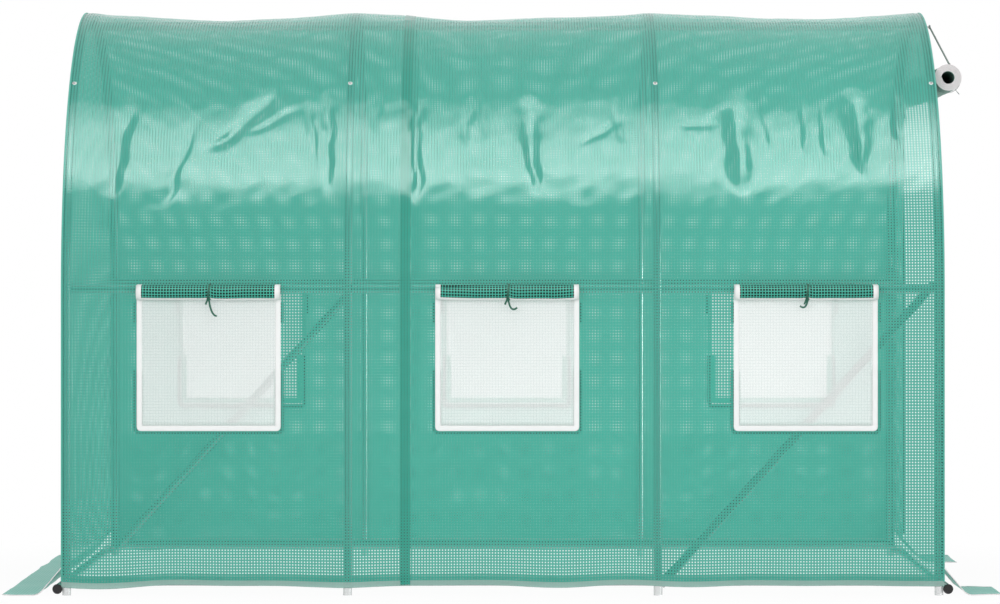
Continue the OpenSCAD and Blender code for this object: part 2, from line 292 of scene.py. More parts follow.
def insectScreen(name, look):
    # fine white knitted mesh, mostly closed, with a stouter thread every 10 mm
    made, wire = newMaterial(name)
    coords, u, v = uvParts(wire)
    hole, crossing = weaveMask(u, v, *look["net"])
    cell = weaveMask(u, v, *look["cell"])[0]
    cloudy = noiseAt(wire, coords, look["cloudSize"])
    mixed = (crossing * look["crossTint"] + cloudy * look["cloudTint"]).clamp()
    colour = cell.blend(look["cellLine"], mixed.blend(look["white"], look["shade"]))
    height = (1 - hole) * look["threadHigh"] + (1 - cell) * look["threadHigh"]
    body = bodyOf(wire, colour, look["rough"], look["bump"], height)
    glow = mixed.shade(glowOf(wire, look["white"]), glowOf(wire, look["shade"]))
    glow = cell.shade(glowOf(wire, look["cellLine"]), glow)
    lit = wire.add("MixShader", {}, {0: look["through"], 1: body, 2: glow})
    return finishMaterial(made, (1 - hole * look["open"]).shade(wire.add("BsdfTransparent"), lit))


steelLook = {
    "pale": rgb(0.33, 0.355, 0.35), "deep": rgb(0.22, 0.24, 0.235), "spangleSize": 90.0, "spangleTint": 0.35,
    "cloudSize": 7.0, "cloudTint": 0.6, "rough": 0.17, "mottleRough": 0.10,
    # feet: colour, height, edge and lessened metal of their painted light
    "foot": rgb(0.70, 0.71, 0.71), "footHigh": 0.036, "footEdge": 300, "footDull": 0.55,
    "grainSize": 400.0, "grainHigh": 0.0004, "bump": 0.15,
}


def galvanised(name, look):
    # zinc coated steel: grey with a cloudy spangle, darker than bare zinc as partly painted shade of the
    # tunnel's inside; paler and duller at the feet below the hem, painted light where they stand out in the
    # lamps
    made, wire = newMaterial(name)
    coords = objectCoords(wire)
    cells = wire.add("TexVoronoi", {}, {"Vector": coords, "Scale": look["spangleSize"]}, "Color")
    spangle = wire.add("SeparateColor", {}, {0: cells})
    cloudy = noiseAt(wire, coords, look["cloudSize"], detail=5.0, rough=0.6)
    mottle = (spangle * look["spangleTint"] + cloudy * look["cloudTint"]).clamp()
    # the low band is painted pale as lit, since only the feet stand outside the cover
    high = wire.add("SeparateXYZ", {}, {0: coords}, "Z")
    foot = ((look["footHigh"] - high) * look["footEdge"]).clamp()
    colour = foot.blend(mottle.blend(look["pale"], look["deep"]), look["foot"])
    grain = noiseAt(wire, coords, look["grainSize"], detail=2.0)
    rough = look["rough"] + mottle * look["mottleRough"]
    more = {"Metallic": 1 - foot * look["footDull"]}
    return finishMaterial(made, bodyOf(wire, colour, rough, look["bump"], grain * look["grainHigh"], more))


plasticLook = {
    "grainSize": 900.0, "grainHigh": 0.0002, "grainRough": 0.15, "bump": 0.3,
    "rubSize": 60.0, "rubFrom": 0.52, "rubEdge": 5,
}


def mouldedPlastic(name, base, worn, rough):
    # fine moulded grain, paler where it is rubbed
    made, wire = newMaterial(name)
    coords = objectCoords(wire)
    look = plasticLook
    grain = noiseAt(wire, coords, look["grainSize"], detail=2.0)
    patchy = noiseAt(wire, coords, look["rubSize"], detail=4.0)
    rubbed = ((patchy - look["rubFrom"]) * look["rubEdge"]).clamp()
    colour, rough = rubbed.blend(base, worn), rough + grain * look["grainRough"]
    return finishMaterial(made, bodyOf(wire, colour, rough, look["bump"], grain * look["grainHigh"]))


cordLook = {"braid": 0.0032, "rough": 0.75, "bump": 0.6, "braidHigh": 0.0006}


def wovenCord(name, base, deep):
    # tight diagonal braid on the piece's own length and girth, darker in the grooves between strands as
    # painted shade
    made, wire = newMaterial(name)
    u, v = uvParts(wire)[1:]
    look = cordLook
    one, two = [(way * (tau / look["braid"])).math("SINE") for way in (u + v, u - v)]
    braid = one.math("MAXIMUM", two) * 0.5 + 0.5
    height = braid * look["braidHigh"]
    return finishMaterial(made, bodyOf(wire, braid.blend(deep, base), look["rough"], look["bump"], height))


coverMat = greenCover("green_woven_film", {**coverLook, "hems": coverL})
panelMat = greenCover("panel_woven_film", coverLook)
# copy of the cover film for the ground skirts: its gaps nearly closed as painted shade of the floor under
# them, and its threads and film paler as painted light
skirtPaintedLightMat = greenCover("skirt_woven_film_painted_light", {
    **coverLook, "rough": 0.42, "gapCover": 0.80, "inner": 0.0,
    "film": rgb(0.30, 0.62, 0.54), "thread": rgb(0.115, 0.510, 0.425)})
weldMat = greenCover("seam_weld_film", {
    **coverLook, "gapCover": 0.80, "film": rgb(0.010, 0.100, 0.075),
    "thread": rgb(0.036, 0.400, 0.305), "threadDeep": rgb(0.028, 0.325, 0.245)})
windowRollMat = rolledCover("rolled_flap_film", rollLook, True)
# the door roll is painted paler than the cover, partly the rolled film's own tone and partly painted sheen;
# its gaps are a paler painted shade
doorRollMat = rolledCover("rolled_door_film", {
    **rollLook, "gapShade": rgb(0.110, 0.220, 0.180),
    "thread": rgb(0.260, 0.450, 0.385), "threadDeep": rgb(0.200, 0.370, 0.310)}, False)
# cut edges of the film, painted pale pinkish grey as their painted highlight
cutEdgeHighlightMat = plainTape("cut_edge_painted_highlight", rgb(0.86, 0.815, 0.820), rgb(0.68, 0.640, 0.645), 0.002, 0.5)
tapeMat = plainTape("white_ribbed_tape", rgb(0.88, 0.89, 0.885), rgb(0.78, 0.79, 0.785), 0.0016)
seamMat = plainTape("green_seam_tape", rgb(0.036, 0.440, 0.325), rgb(0.026, 0.360, 0.265), 0.0018, 0.45)
# near-black welt: painted shade beside the window borders
shadeWeltMat = plainTape("painted_shade_welt", rgb(0.004, 0.050, 0.038), rgb(0.002, 0.032, 0.024), 0.0018, 0.45)
bindingMat = plainTape("green_edge_tape", rgb(0.085, 0.440, 0.350), rgb(0.060, 0.350, 0.275), 0.0018, 0.45)
zipMat = plainTape("dark_zip_tape", rgb(0.020, 0.120, 0.090), rgb(0.012, 0.080, 0.060), 0.0015)
screenMat = insectScreen("white_insect_mesh", screenLook)
steelMat = galvanised("galvanised_tube", steelLook)
capMat = mouldedPlastic("black_cap_plastic", rgb(0.003, 0.003, 0.0035), rgb(0.012, 0.012, 0.012), 0.22)
washerMat = mouldedPlastic("white_washer_plastic", rgb(0.80, 0.81, 0.80), rgb(0.68, 0.69, 0.68), 0.42)
tieMat = wovenCord("dark_green_tie", rgb(0.020, 0.130, 0.085), rgb(0.008, 0.065, 0.042))
doorTieMat = wovenCord("grey_green_tie", rgb(0.240, 0.290, 0.265), rgb(0.150, 0.190, 0.170))
print("materials made:", len(bpy.data.materials))


def gridFaces(rows, columns, wrapColumns=False):
    # quads between neighbouring rows and columns of a grid stored row by row
    i, j = np.meshgrid(np.arange(rows - 1), np.arange(columns if wrapColumns else columns - 1), indexing="ij")
    k, m = i + 1, (j + 1) % columns
    return np.stack([i * columns + j, i * columns + m, k * columns + m, k * columns + j], -1).reshape(-1, 4)


def putMesh(name, points, quads, materials, flat=None, flip=False, second=None):
    # second marks the faces that take the second material
    points = np.asarray(points, float).reshape(-1, 3)
    quads = np.asarray(quads)[:, ::-1] if flip else np.asarray(quads)
    mesh = bpy.data.meshes.new(name)
    mesh.vertices.add(len(points))
    mesh.vertices.foreach_set("co", points.astype(np.float32).ravel())
    mesh.loops.add(quads.size)
    mesh.loops.foreach_set("vertex_index", quads.astype(np.int32).ravel())
    mesh.polygons.add(len(quads))
    mesh.polygons.foreach_set("loop_start", np.arange(0, quads.size, 4, dtype=np.int32))
    mesh.polygons.foreach_set("use_smooth", np.ones(len(quads), bool))
    if flat is not None:
        layer = mesh.uv_layers.new(name="flat")
        layer.data.foreach_set("uv", np.asarray(flat, np.float32).reshape(-1, 2)[quads.ravel()].ravel())
    mesh.update(calc_edges=True)
    mesh.validate()
    for material in materials:
        mesh.materials.append(material)
    if second is not None:
        mesh.polygons.foreach_set("material_index", second.astype(np.int32))
    piece = bpy.data.objects.new(name, mesh)
    scene.collection.objects.link(piece)
    return piece


def putJoined(name, parts, materials, second=None):
    # one mesh from several (points, quads, flat)
    points = [np.asarray(part[0]).reshape(-1, 3) for part in parts]
    shifts = np.cumsum([0, *[len(one) for one in points]])
    quads = np.concatenate([part[1] + shift for part, shift in zip(parts, shifts)])
    flat = np.concatenate([np.asarray(part[2]).reshape(-1, 2) for part in parts])
    return putMesh(name, np.concatenate(points), quads, materials, flat, second=second)


def trimLoose(points, quads, flat):
    # keeps only the points that a face uses
    used, back = np.unique(quads, return_inverse=True)
    return points.reshape(-1, 3)[used], back.reshape(-1, 4), flat.reshape(-1, 2)[used]


def settle(piece, nodes=()):
    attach(piece, "root")
    if nodes:
        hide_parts(*nodes)
    return piece


def stepsBetween(breaks, step):
    # evenly spaced values that also hit every break
    counts = [max(2, int(round((b - a) / step)) + 1) for a, b in zip(breaks, breaks[1:])]
    parts = [np.linspace(a, b, n)[:-1] for a, b, n in zip(breaks, breaks[1:], counts)]
    return np.concatenate([*parts, [breaks[-1]]])


def ripple(u, v, seed, waves, count=14):
    # sum of plane waves with seeded directions, lengths of about waves metres, about -1 to 1
    draw = np.random.default_rng(seed)
    turn = draw.uniform(0, tau, count)
    size = draw.uniform(0.6, 1.7, count) / waves
    start = draw.uniform(0, tau, count)
    total = 0
    for a, f, p in zip(turn, size, start):
        total = total + np.sin(tau * f * (u * np.cos(a) + v * np.sin(a)) + p)
    return total / math.sqrt(count) / 1.3


def smooth(t):
    # three squares less two cubes of t, held between 0 and 1
    t = np.clip(t, 0, 1)
    return t * t * (3 - 2 * t)


def ramp(value, start, length):
    # 0 up to the start, then a smooth rise to 1 over the length
    return smooth((value - start) / length)


def unit(rows):
    # each row over its own length
    return rows / np.linalg.norm(rows, axis=1, keepdims=True)


def runAlong(path):
    # length of the path up to each of its points
    return np.concatenate([[0], np.cumsum(np.linalg.norm(np.diff(path, axis=0), axis=1))])


def runDown(x, z):
    # the same down each column of a grid
    steps = np.hypot(np.diff(x, axis=0), np.diff(z, axis=0))
    return np.concatenate([np.zeros((1, x.shape[1])), np.cumsum(steps, 0)])


def turnedTo(side, vector):
    # the vector with its y on the given side
    return np.array(vector) * np.array([1, side, 1])


def alongX(x, y, z):
    # points from three values, single numbers spread over the longest
    return np.stack(np.broadcast_arrays(x, y, z), -1)


def tubeAlong(path, radius, sides, up=(0, 0, 1)):
    # circle of the given radius carried along the path's points
    path = np.asarray(path, float)
    way = unit(np.gradient(path, axis=0))
    side = unit(np.cross(way, np.asarray(up, float)))
    over = np.cross(side, way)
    a = np.linspace(0, tau, sides, endpoint=False)
    r = np.broadcast_to(np.asarray(radius, float), (len(path),))[:, None, None]
    circle = np.cos(a)[None, :, None] * side[:, None] + np.sin(a)[None, :, None] * over[:, None]
    flat = np.stack(np.broadcast_arrays(runAlong(path)[:, None], (a * np.max(radius))[None, :]), -1)
    return path[:, None] + r * circle, gridFaces(len(path), sides, wrapColumns=True)[:, ::-1], flat


def bandAlong(path, outward, width, thick, sides=12):
    # flat strap section, a rounded box, carried along the path; outward is the normal of its face
    path = np.asarray(path, float)
    way = unit(np.gradient(path, axis=0))
    outward = np.broadcast_to(np.asarray(outward, float), path.shape)
    outward = unit(outward - (outward * way).sum(1, keepdims=True) * way)
    side = np.cross(way, outward)
    a = np.linspace(0, tau, sides, endpoint=False)
    across = np.sign(np.cos(a)) * np.abs(np.cos(a)) ** 0.35 * width / 2
    lift = np.sign(np.sin(a)) * np.abs(np.sin(a)) ** 0.6 * thick / 2
    points = path[:, None] + across[None, :, None] * side[:, None] + lift[None, :, None] * outward[:, None]
    flat = np.stack(np.broadcast_arrays(runAlong(path)[:, None], (across + width / 2)[None, :]), -1)
    return points, gridFaces(len(path), sides, wrapColumns=True)[:, ::-1], flat


def rollSpiral(form):
    # angle and radius: the radius falls evenly from outer to inner over the turns
    t = np.linspace(0, 1, form["turns"] * form["steps"] + 1)
    return tau * form["turns"] * t, form["outer"] + (form["inner"] - form["outer"]) * t


def thicken(piece, thick):
    # gives a sheet its wall, with the second material on the cut edges
    wall = piece.modifiers.new("wall", "SOLIDIFY")
    wall.thickness, wall.offset, wall.material_offset_rim = thick, 0.0, 1
    return piece


# camera at the photograph's viewing angle: level, square to the long side
view = {"place": (0.0, -16.6, 1.2), "lens": 165.0, "sensor": 36.0, "shift": (-0.0028, -0.059), "reach": 200.0}
lens = bpy.data.cameras.new("view")
lens.lens, lens.sensor_width, lens.clip_end = view["lens"], view["sensor"], view["reach"]
lens.shift_x, lens.shift_y = view["shift"]
camera = bpy.data.objects.new("view", lens)
camera.location, camera.rotation_euler = view["place"], (math.pi / 2, 0, 0)
scene.collection.objects.link(camera)
scene.camera = camera

for nodeName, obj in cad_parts.items():
    obj.data.materials.clear()
    obj.data.materials.append(capMat if nodeName == "rail_end_caps" else steelMat)
print("tubes and caps finished")

# the cover: x along the tunnel, s along the section from the front hem over the arch to the back hem
cover = {
    "seam": (-0.350, -0.314), "step": 0.0105, "lap": 0.0014, "lapFade": 0.05,
    "weldLift": 0.0022, "weldInset": 0.001, "weldFrom": 0.004, "weldColumns": 5,
    # the hem: length turned up, gap inside it, and the lines of its round edge
    "hemFold": 0.042, "foldGap": 0.003, "foldRound": 0.006, "hemTo": 0.012,
    "hemLines": (-0.03, -0.018, -0.010, -0.006, -0.004, -0.002, 0, 0.002, 0.004, 0.008),
    # depth of the sag along the tunnel, and how it is softened and held at the hoops
    "sagX": (-1.486, -1.24, -1.02, -0.81, -0.66, -0.59, -0.529, -0.39, -0.30, -0.155, -0.01, 0.207, 0.42,
             0.529, 0.714, 0.93, 1.08, 1.29, 1.44, 1.486),
    "sagDepth": (0, 0.017, 0.027, 0.021, 0.010, 0.003, 0, 0.003, 0.014, 0.025, 0.021, 0.014, 0.0065,
                 0, 0.0065, 0.017, 0.021, 0.014, 0.004, 0),
    "sagReach": 1.51, "sagSteps": 1200, "sagSoft": 30, "sagHold": 0.03,
    "wallSag": 0.10, "wallSagFrom": 0.45, "archSag": 1.3, "hoopHold": 0.055,
    # slack and crinkles: depth, then the seed and length of their ripples
    "slack": 0.0016, "slackRipple": (5, 0.34), "crinkle": 0.0006, "crinkleRipple": (8, 0.09),
    # window openings, and the flat film round them
    "openHalf": 0.2300, "openLow": 0.575, "openHigh": 1.020,
    "flatHalf": 0.245, "flatFoot": 0.56, "flatFade": 0.10,
    # the foot of the walls: pulled in, and waved up and down
    "footIn": 0.010, "footWave": 0.006, "footRipple": (21, 0.5), "footFade": 0.07,
    "hemLift": 0.003, "hemWave": 0.007, "hemRipple": (33, 0.55, 8), "hemFade": 0.10,
    # angle of the crown bolts, and the dome of film over their heads
    "bolts": 46.2, "domeHigh": 0.0032, "domeWide": 0.016,
}
coverNodes = [
    "front_wall_sheet", "back_wall_sheet", "front_eave_sheet", "front_roof_sheet", "front_crown_sheet",
    "back_crown_sheet", "back_roof_sheet", "back_eave_sheet"]

# folds: from (x, angle) to (x, angle) in degrees round the arch, half width at each end and depth in metres
folds = np.array([
    (-1.34, 18, -1.28, 46, 0.018, 0.050, 0.0100), (-1.16, 16, -1.04, 42, 0.014, 0.034, 0.0060),
    (-1.02, 28, -0.72, 48, 0.026, 0.060, 0.0170), (-0.90, 33, -0.66, 41, 0.016, 0.030, 0.0070),
    (-0.645, 24, -0.68, 46, 0.014, 0.024, 0.0065), (-0.595, 19, -0.600, 48, 0.014, 0.034, 0.0130),
    (-0.44, 32, -0.42, 50, 0.014, 0.026, 0.0060), (-0.292, 15, -0.298, 54, 0.022, 0.027, 0.0125),
    (-0.14, 29, -0.10, 48, 0.014, 0.026, 0.0075), (-0.06, 31, -0.08, 48, 0.012, 0.024, 0.0065),
    (0.115, 19, 0.075, 47, 0.014, 0.074, 0.0210), (0.24, 30, 0.44, 38, 0.018, 0.028, 0.0060),
    (0.42, 30, 0.38, 44, 0.014, 0.026, 0.0080), (0.60, 35, 0.76, 36, 0.014, 0.020, 0.0045),
    (0.82, 19, 0.81, 47, 0.036, 0.082, 0.0250), (0.93, 29, 0.89, 48, 0.012, 0.020, 0.0065),
    (1.05, 28, 1.03, 44, 0.012, 0.024, 0.0075), (1.12, 26, 1.10, 44, 0.012, 0.024, 0.0080),
    (1.240, 23, 1.215, 48, 0.014, 0.088, 0.0250), (1.37, 30, 1.35, 48, 0.014, 0.028, 0.0075),
    (-1.20, 132, -0.92, 158, 0.050, 0.018, 0.0140), (-0.72, 136, -0.80, 160, 0.026, 0.014, 0.0080),
    (-0.30, 134, -0.18, 158, 0.032, 0.014, 0.0090), (0.08, 134, 0.12, 160, 0.070, 0.014, 0.0190),
    (0.32, 138, 0.24, 156, 0.026, 0.014, 0.0070), (0.72, 134, 0.80, 160, 0.076, 0.018, 0.0220),
    (1.06, 134, 1.16, 156, 0.028, 0.014, 0.0080), (1.32, 136, 1.26, 158, 0.064, 0.014, 0.0180),
])
foldForm = {"stray": 0.007, "strayRipple": (17, 0.16), "steep": 2.2, "fadeIn": 4.0, "fadeOut": 2.2}


def archAt(degrees):
    # place along the section of an angle round the arch
    return wallH + math.radians(degrees) * coverR


def hoopAway(x):
    # distance along the tunnel to the nearest hoop
    return np.abs(x[..., None] - hoopX).min(-1)


def softSag():
    # the sag's points joined by lines, blurred, and brought to nothing at each hoop
    x = np.linspace(-cover["sagReach"], cover["sagReach"], cover["sagSteps"])
    blur = np.hanning(2 * cover["sagSoft"] + 1)
    depth = np.pad(np.interp(x, cover["sagX"], cover["sagDepth"]), cover["sagSoft"], mode="edge")
    depth = np.convolve(depth, blur / blur.sum(), mode="valid")
    return x, depth * (1 - np.exp(-(hoopAway(x) / cover["sagHold"]) ** 2))


def foldDepth(x, s):
    # each fold is a rounded trough on an uneven line, widening along it and fading at both ends
    total = 0
    stray = foldForm["stray"] * ripple(x, s, *foldForm["strayRipple"])
    for x0, a0, x1, a1, wide0, wide1, deep in folds:
        s0, s1 = archAt(a0), archAt(a1)
        dx, ds = x1 - x0, s1 - s0
        t = ((x - x0) * dx + (s - s0) * ds) / (dx * dx + ds * ds)
        off = ((x - x0) * ds - (s - s0) * dx) / math.hypot(dx, ds)
        wide = wide0 + (wide1 - wide0) * np.clip(t, 0, 1)
        trough = np.exp(-foldForm["steep"] * ((off + stray) / wide) ** 2)
        ending = smooth(np.minimum(t * foldForm["fadeIn"], (1 - t) * foldForm["fadeOut"]))
        total = total + deep * trough * ending
    return total


sagAlong = softSag()


def coverSurface(x, s, lift):
    # wall, half circle, wall; pushed in along its normal by sag, folds and ripples, out by the lift
    turned = np.clip((s - wallH) / coverR, 0, math.pi)
    arched = np.sin(turned)
    fold = np.clip(np.maximum(-s, s - coverL), 0, None)       # length turned up inside the hem
    s2 = np.where(s < 0, -s, np.where(s > coverL, 2 * coverL - s, s))
    up = np.minimum(s2, coverL - s2)                          # height along the section above the hem
    onWall = up < wallH
    free = 1 - np.exp(-(hoopAway(x) / cover["hoopHold"]) ** 2)
    share, low = cover["wallSag"], cover["wallSagFrom"]
    weight = share + (1 - share) * arched ** cover["archSag"]
    weight = np.where(onWall, share * ramp(up, low * wallH, (1 - low) * wallH), weight)
    loose = cover["slack"] * (1 + ripple(x, s, *cover["slackRipple"]))
    loose = loose + cover["crinkle"] * ripple(x, s, *cover["crinkleRipple"])
    inward = np.interp(x, *sagAlong) * weight + free * (foldDepth(x, s) + loose)
    # flat round the windows, from below the openings to just over the start of the arch
    fade = cover["flatFade"]
    beside = 1 - ramp(np.abs(x[..., None] - windowX).min(-1), cover["flatHalf"], fade)
    level = np.where(onWall, 1 - smooth((cover["flatFoot"] - hemZ - up) / fade), 1 - ramp(up, wallH, fade))
    inward = inward * (1 - beside * level)
    pulled = cover["footIn"] + cover["footWave"] * ripple(x, 0 * x, *cover["footRipple"])
    inward = inward + np.exp(-up / cover["footFade"]) * free * pulled
    inward = inward + cover["foldGap"] * smooth(fold / cover["foldRound"])
    for a in (cover["bolts"], 180 - cover["bolts"]):
        near = (hoopAway(x) ** 2 + (s - archAt(a)) ** 2) / cover["domeWide"] ** 2
        inward = inward - cover["domeHigh"] * np.exp(-near)
    r = coverR - inward + lift
    wave = cover["hemWave"] * ripple(x, 0 * x, *cover["hemRipple"]) + cover["hemLift"]
    z = hemZ + np.minimum(up, wallH) + r * arched + np.exp(-up / cover["hemFade"]) * wave
    return np.stack([x, -r * np.cos(turned), z], -1)


def coverPanel(name, x0, x1, liftAt):
    # grid of the cover's surface with the faces in the window openings left out
    holes = [w + side * cover["openHalf"] for w in windowX for side in (-1, 1)]
    across = stepsBetween([x0, *[h for h in holes if x0 < h < x1], x1], cover["step"])
    low, high = cover["openLow"] - hemZ, cover["openHigh"] - hemZ
    rising = np.array([cover["hemTo"], low, high, wallH])
    hem = np.array([-cover["hemFold"], *cover["hemLines"]])
    steps = stepsBetween([*rising, *(coverL - rising)[::-1]], cover["step"])
    along = np.concatenate([hem, steps, (coverL - hem)[::-1]])
    s, x = np.meshgrid(along, across, indexing="ij")
    points = coverSurface(x, s, liftAt(x))
    quads = gridFaces(*s.shape)
    flat = np.stack([x, s], -1)
    centre = flat.reshape(-1, 2)[quads].mean(1)
    inX = (np.abs(centre[:, :1] - windowX) < cover["openHalf"]).any(1)
    up = np.minimum(centre[:, 1], coverL - centre[:, 1])
    points, quads, flat = trimLoose(points, quads[~(inX & (up > low) & (up < high))], flat)
    return settle(putMesh(name, points, quads, [coverMat], flat), coverNodes)


overlap = cover["seam"]
leftCover = coverPanel("cover_left_panel", -endX, overlap[1], lambda x: 0 * x)
rightCover = coverPanel("cover_right_panel", overlap[0], endX,
                        lambda x: cover["lap"] * (1 - ramp(x, overlap[1], cover["lapFade"])))


def seamLayer():
    # the lap of the two panels, welded by a strip on the outside: the cover's surface, lifted
    inset, start = cover["weldInset"], cover["weldFrom"]
    across = np.linspace(overlap[0] + inset, overlap[1] - inset, cover["weldColumns"])
    along = stepsBetween([start, wallH, coverL - wallH, coverL - start], cover["step"])
    s, x = np.meshgrid(along, across, indexing="ij")
    points = coverSurface(x, s, cover["weldLift"])
    return putMesh("cover_seam_weld", points, gridFaces(*s.shape), [weldMat], np.stack([x, s], -1))


settle(seamLayer())
print("cover panels made")

# end sheets with their ground skirts; a pair is where a change starts and the length it takes
ends = {
    "columns": 64, "rows": 110, "headRows": 34, "archRow": 0.95,
    "skirtTop": 0.095, "slope": 40.0, "bend": 0.045, "lift": 0.0012,
    "step": 0.014, "bendSteps": 7, "slopeSteps": 8,
    "hollow": 0.0055, "hollowWaves": 0.45, "crinkle": 0.0010, "crinkleWaves": 0.12,
    "rimHold": (0.035, 0.12), "footHold": (0.06, 0.2), "doorHold": (0.02, 0.12),
    "ground": (0.05, 0.12), "rise": 0.0022, "riseFrom": 0.25, "skirtWaves": 0.30,
    "edge": (0.15, 0.06), "edgeWave": 0.003, "edgeWaves": 0.45, "slopeWave": 0.0014, "hemR": 0.0016,
}


def skirtProfile():
    # distance beyond the end, and height: in along the ground, round the bend and up the slope
    turn = math.radians(90 - ends["slope"])
    bendZ = ends["lift"] + ends["bend"] * (1 - math.cos(turn))
    slopeX = (ends["skirtTop"] - bendZ) * math.tan(math.radians(ends["slope"]))
    footX = slopeX + ends["bend"] * math.sin(turn)
    out = stepsBetween([footX, skirtX - endX], ends["step"])[::-1]
    ground = np.stack([out, np.full_like(out, ends["lift"])], -1)
    a = np.linspace(0, turn, ends["bendSteps"])[1:]
    bend = np.stack([footX - ends["bend"] * np.sin(a), ends["lift"] + ends["bend"] * (1 - np.cos(a))], -1)
    t = np.linspace(0, 1, ends["slopeSteps"])[1:, None]
    slope = (1 - t) * bend[-1] + t * np.array([0.0, ends["skirtTop"]])
    return np.concatenate([ground, bend, slope])


def endPanel(name, side, door, seed):
    # skirt rows, then upright rows up to the arch over each column; the doorway's faces are left out
    edge = math.asin(doorHalf / coverR)
    turns = stepsBetween([-math.pi / 2, -edge, edge, math.pi / 2], math.pi / 2 / ends["columns"])
    y = coverR * np.sin(turns)
    top = legTop + coverR * np.cos(turns)
    profile = skirtProfile()
    rows, z0 = len(profile), ends["skirtTop"]
    breakZ = np.minimum(doorTop, z0 + ends["archRow"] * (top - z0))
    lower = np.linspace(0, 1, ends["rows"])[1:, None]
    upper = np.linspace(0, 1, ends["headRows"])[1:, None]
    wall = np.concatenate([z0 + lower * (breakZ - z0), breakZ + upper * (top - breakZ)])
    z = np.concatenate([np.repeat(profile[:, 1:], len(y), 1), wall])
    out = np.concatenate([np.repeat(profile[:, :1], len(y), 1), np.zeros_like(wall)])
    yy = np.broadcast_to(y, z.shape)
    run = runAlong(profile)
    v = np.concatenate([np.repeat(run[:, None], len(y), 1), run[-1] + wall - z0])
    # the panel hollows a little inside the hoop, and the skirt rises in soft waves
    rim = np.minimum(coverR - np.hypot(yy, np.clip(z - legTop, 0, None)), coverR - np.abs(yy))
    slack = ramp(rim, *ends["rimHold"]) * ramp(z, *ends["footHold"])
    if door:
        byDoor = np.abs(np.abs(yy) - doorHalf) + np.clip(z - doorTop, 0, None)
        slack = slack * ramp(byDoor, *ends["doorHold"])
    loose = ends["hollow"] * (1 + ripple(yy, z, seed, ends["hollowWaves"]))
    loose = loose + ends["crinkle"] * ripple(yy, z, seed + 1, ends["crinkleWaves"])
    onGround = ramp(out, *ends["ground"])
    swell = ripple(yy, out, seed + 2, ends["skirtWaves"])
    rise = onGround * ends["rise"] * np.clip(swell + ends["riseFrom"], 0, None)
    edgeWave = ends["edgeWave"] * (ripple(yy, 0 * yy, seed + 3, ends["edgeWaves"]) - 1)
    edgeWave = ramp(out, *ends["edge"]) * edgeWave
    sloping = (out > 0) * (1 - onGround) * ends["slopeWave"] * ripple(yy, z, seed + 4, ends["skirtWaves"])
    points = np.stack([side * (endX + out - slack * loose + edgeWave + sloping), yy, z + rise], -1)
    gate = [int(np.abs(y - hand * doorHalf).argmin()) for hand in (1, -1)] if door else []
    lines = [points[:rows, column] for column in (0, -1, *gate)]
    hems = [tubeAlong(line, ends["hemR"], sides=8, up=(0, 1, 0)) for line in lines]
    settle(putJoined(name.replace("panel", "skirt_hem"), hems, [cutEdgeHighlightMat]))
    quads = gridFaces(*z.shape)
    if door:
        inside = np.abs(yy.reshape(-1)[quads].mean(1)) < doorHalf
        quads = quads[~(inside & (quads[:, 0] // len(y) < rows - 1 + len(lower)))]
    onSkirt = quads[:, 0] // len(y) < rows - 1
    points, quads, flat = trimLoose(points, quads, np.stack([yy, v], -1))
    return putMesh(name, points, quads, [panelMat, skirtPaintedLightMat], flat, side < 0, onSkirt), run[-1]


leftEnd, skirtL = endPanel("left_end_panel", -1, False, 51)
rightEnd = endPanel("right_end_panel", 1, True, 71)[0]
settle(leftEnd, ["left_end_sheet", "left_skirt"])
settle(rightEnd,
       ["right_end_front_sheet", "right_end_back_sheet", "right_end_header_sheet", "right_skirts"])
endArea = 2 * coverR * (legTop - ends["skirtTop"] + skirtL) + math.pi * coverR ** 2 / 2
doorArea = 2 * doorHalf * (doorTop - ends["skirtTop"] + skirtL)
endArea - doorArea
print("end panels made")

# ground flap folded up against the outside of the back wall
flap = {
    "top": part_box("back_flap")[1].z, "step": 0.014, "inset": 0.002, "drop": 0.002, "start": 0.003,
    "footLines": (0.0, 0.003, 0.006, 0.010), "footTo": 0.016, "round": 0.010, "off": 0.0022,
    "wave": 0.0035, "waveRipple": (91, 0.42), "waveFrom": 0.12,
    "curl": 0.002, "curlRipple": (92, 0.3), "curlFrom": (0.36, 0.08),
    "dip": 0.010, "dipRipple": (93, 0.8, 8), "dipFrom": 0.4,
}


def flapSheet():
    # out under the hem, then up the wall in soft waves, with a loose upper edge
    h = np.concatenate([flap["footLines"], stepsBetween([flap["footTo"], flap["top"] - hemZ], flap["step"])])
    x = stepsBetween([-endX + flap["inset"], endX - flap["inset"]], flap["step"])
    up, xx = np.meshgrid(h, x, indexing="ij")
    wave = smooth(up / flap["waveFrom"]) * flap["wave"] * (1 + ripple(xx, up, *flap["waveRipple"]))
    curl = ramp(up, *flap["curlFrom"]) * flap["curl"] * (1 + ripple(xx, 0 * xx, *flap["curlRipple"]))
    y = coverR + flap["off"] * smooth(up / flap["round"]) + wave + curl
    dip = flap["dip"] * ripple(xx, 0 * xx, *flap["dipRipple"]) * smooth(up / flap["dipFrom"])
    points = np.stack([xx, y, hemZ + up - flap["drop"] + dip], -1)
    flat = np.stack([xx, up + flap["start"]], -1)
    return putMesh("back_flap_sheet", points, gridFaces(*up.shape), [panelMat], flat, True)


backFlap = settle(flapSheet(), ["back_flap"])

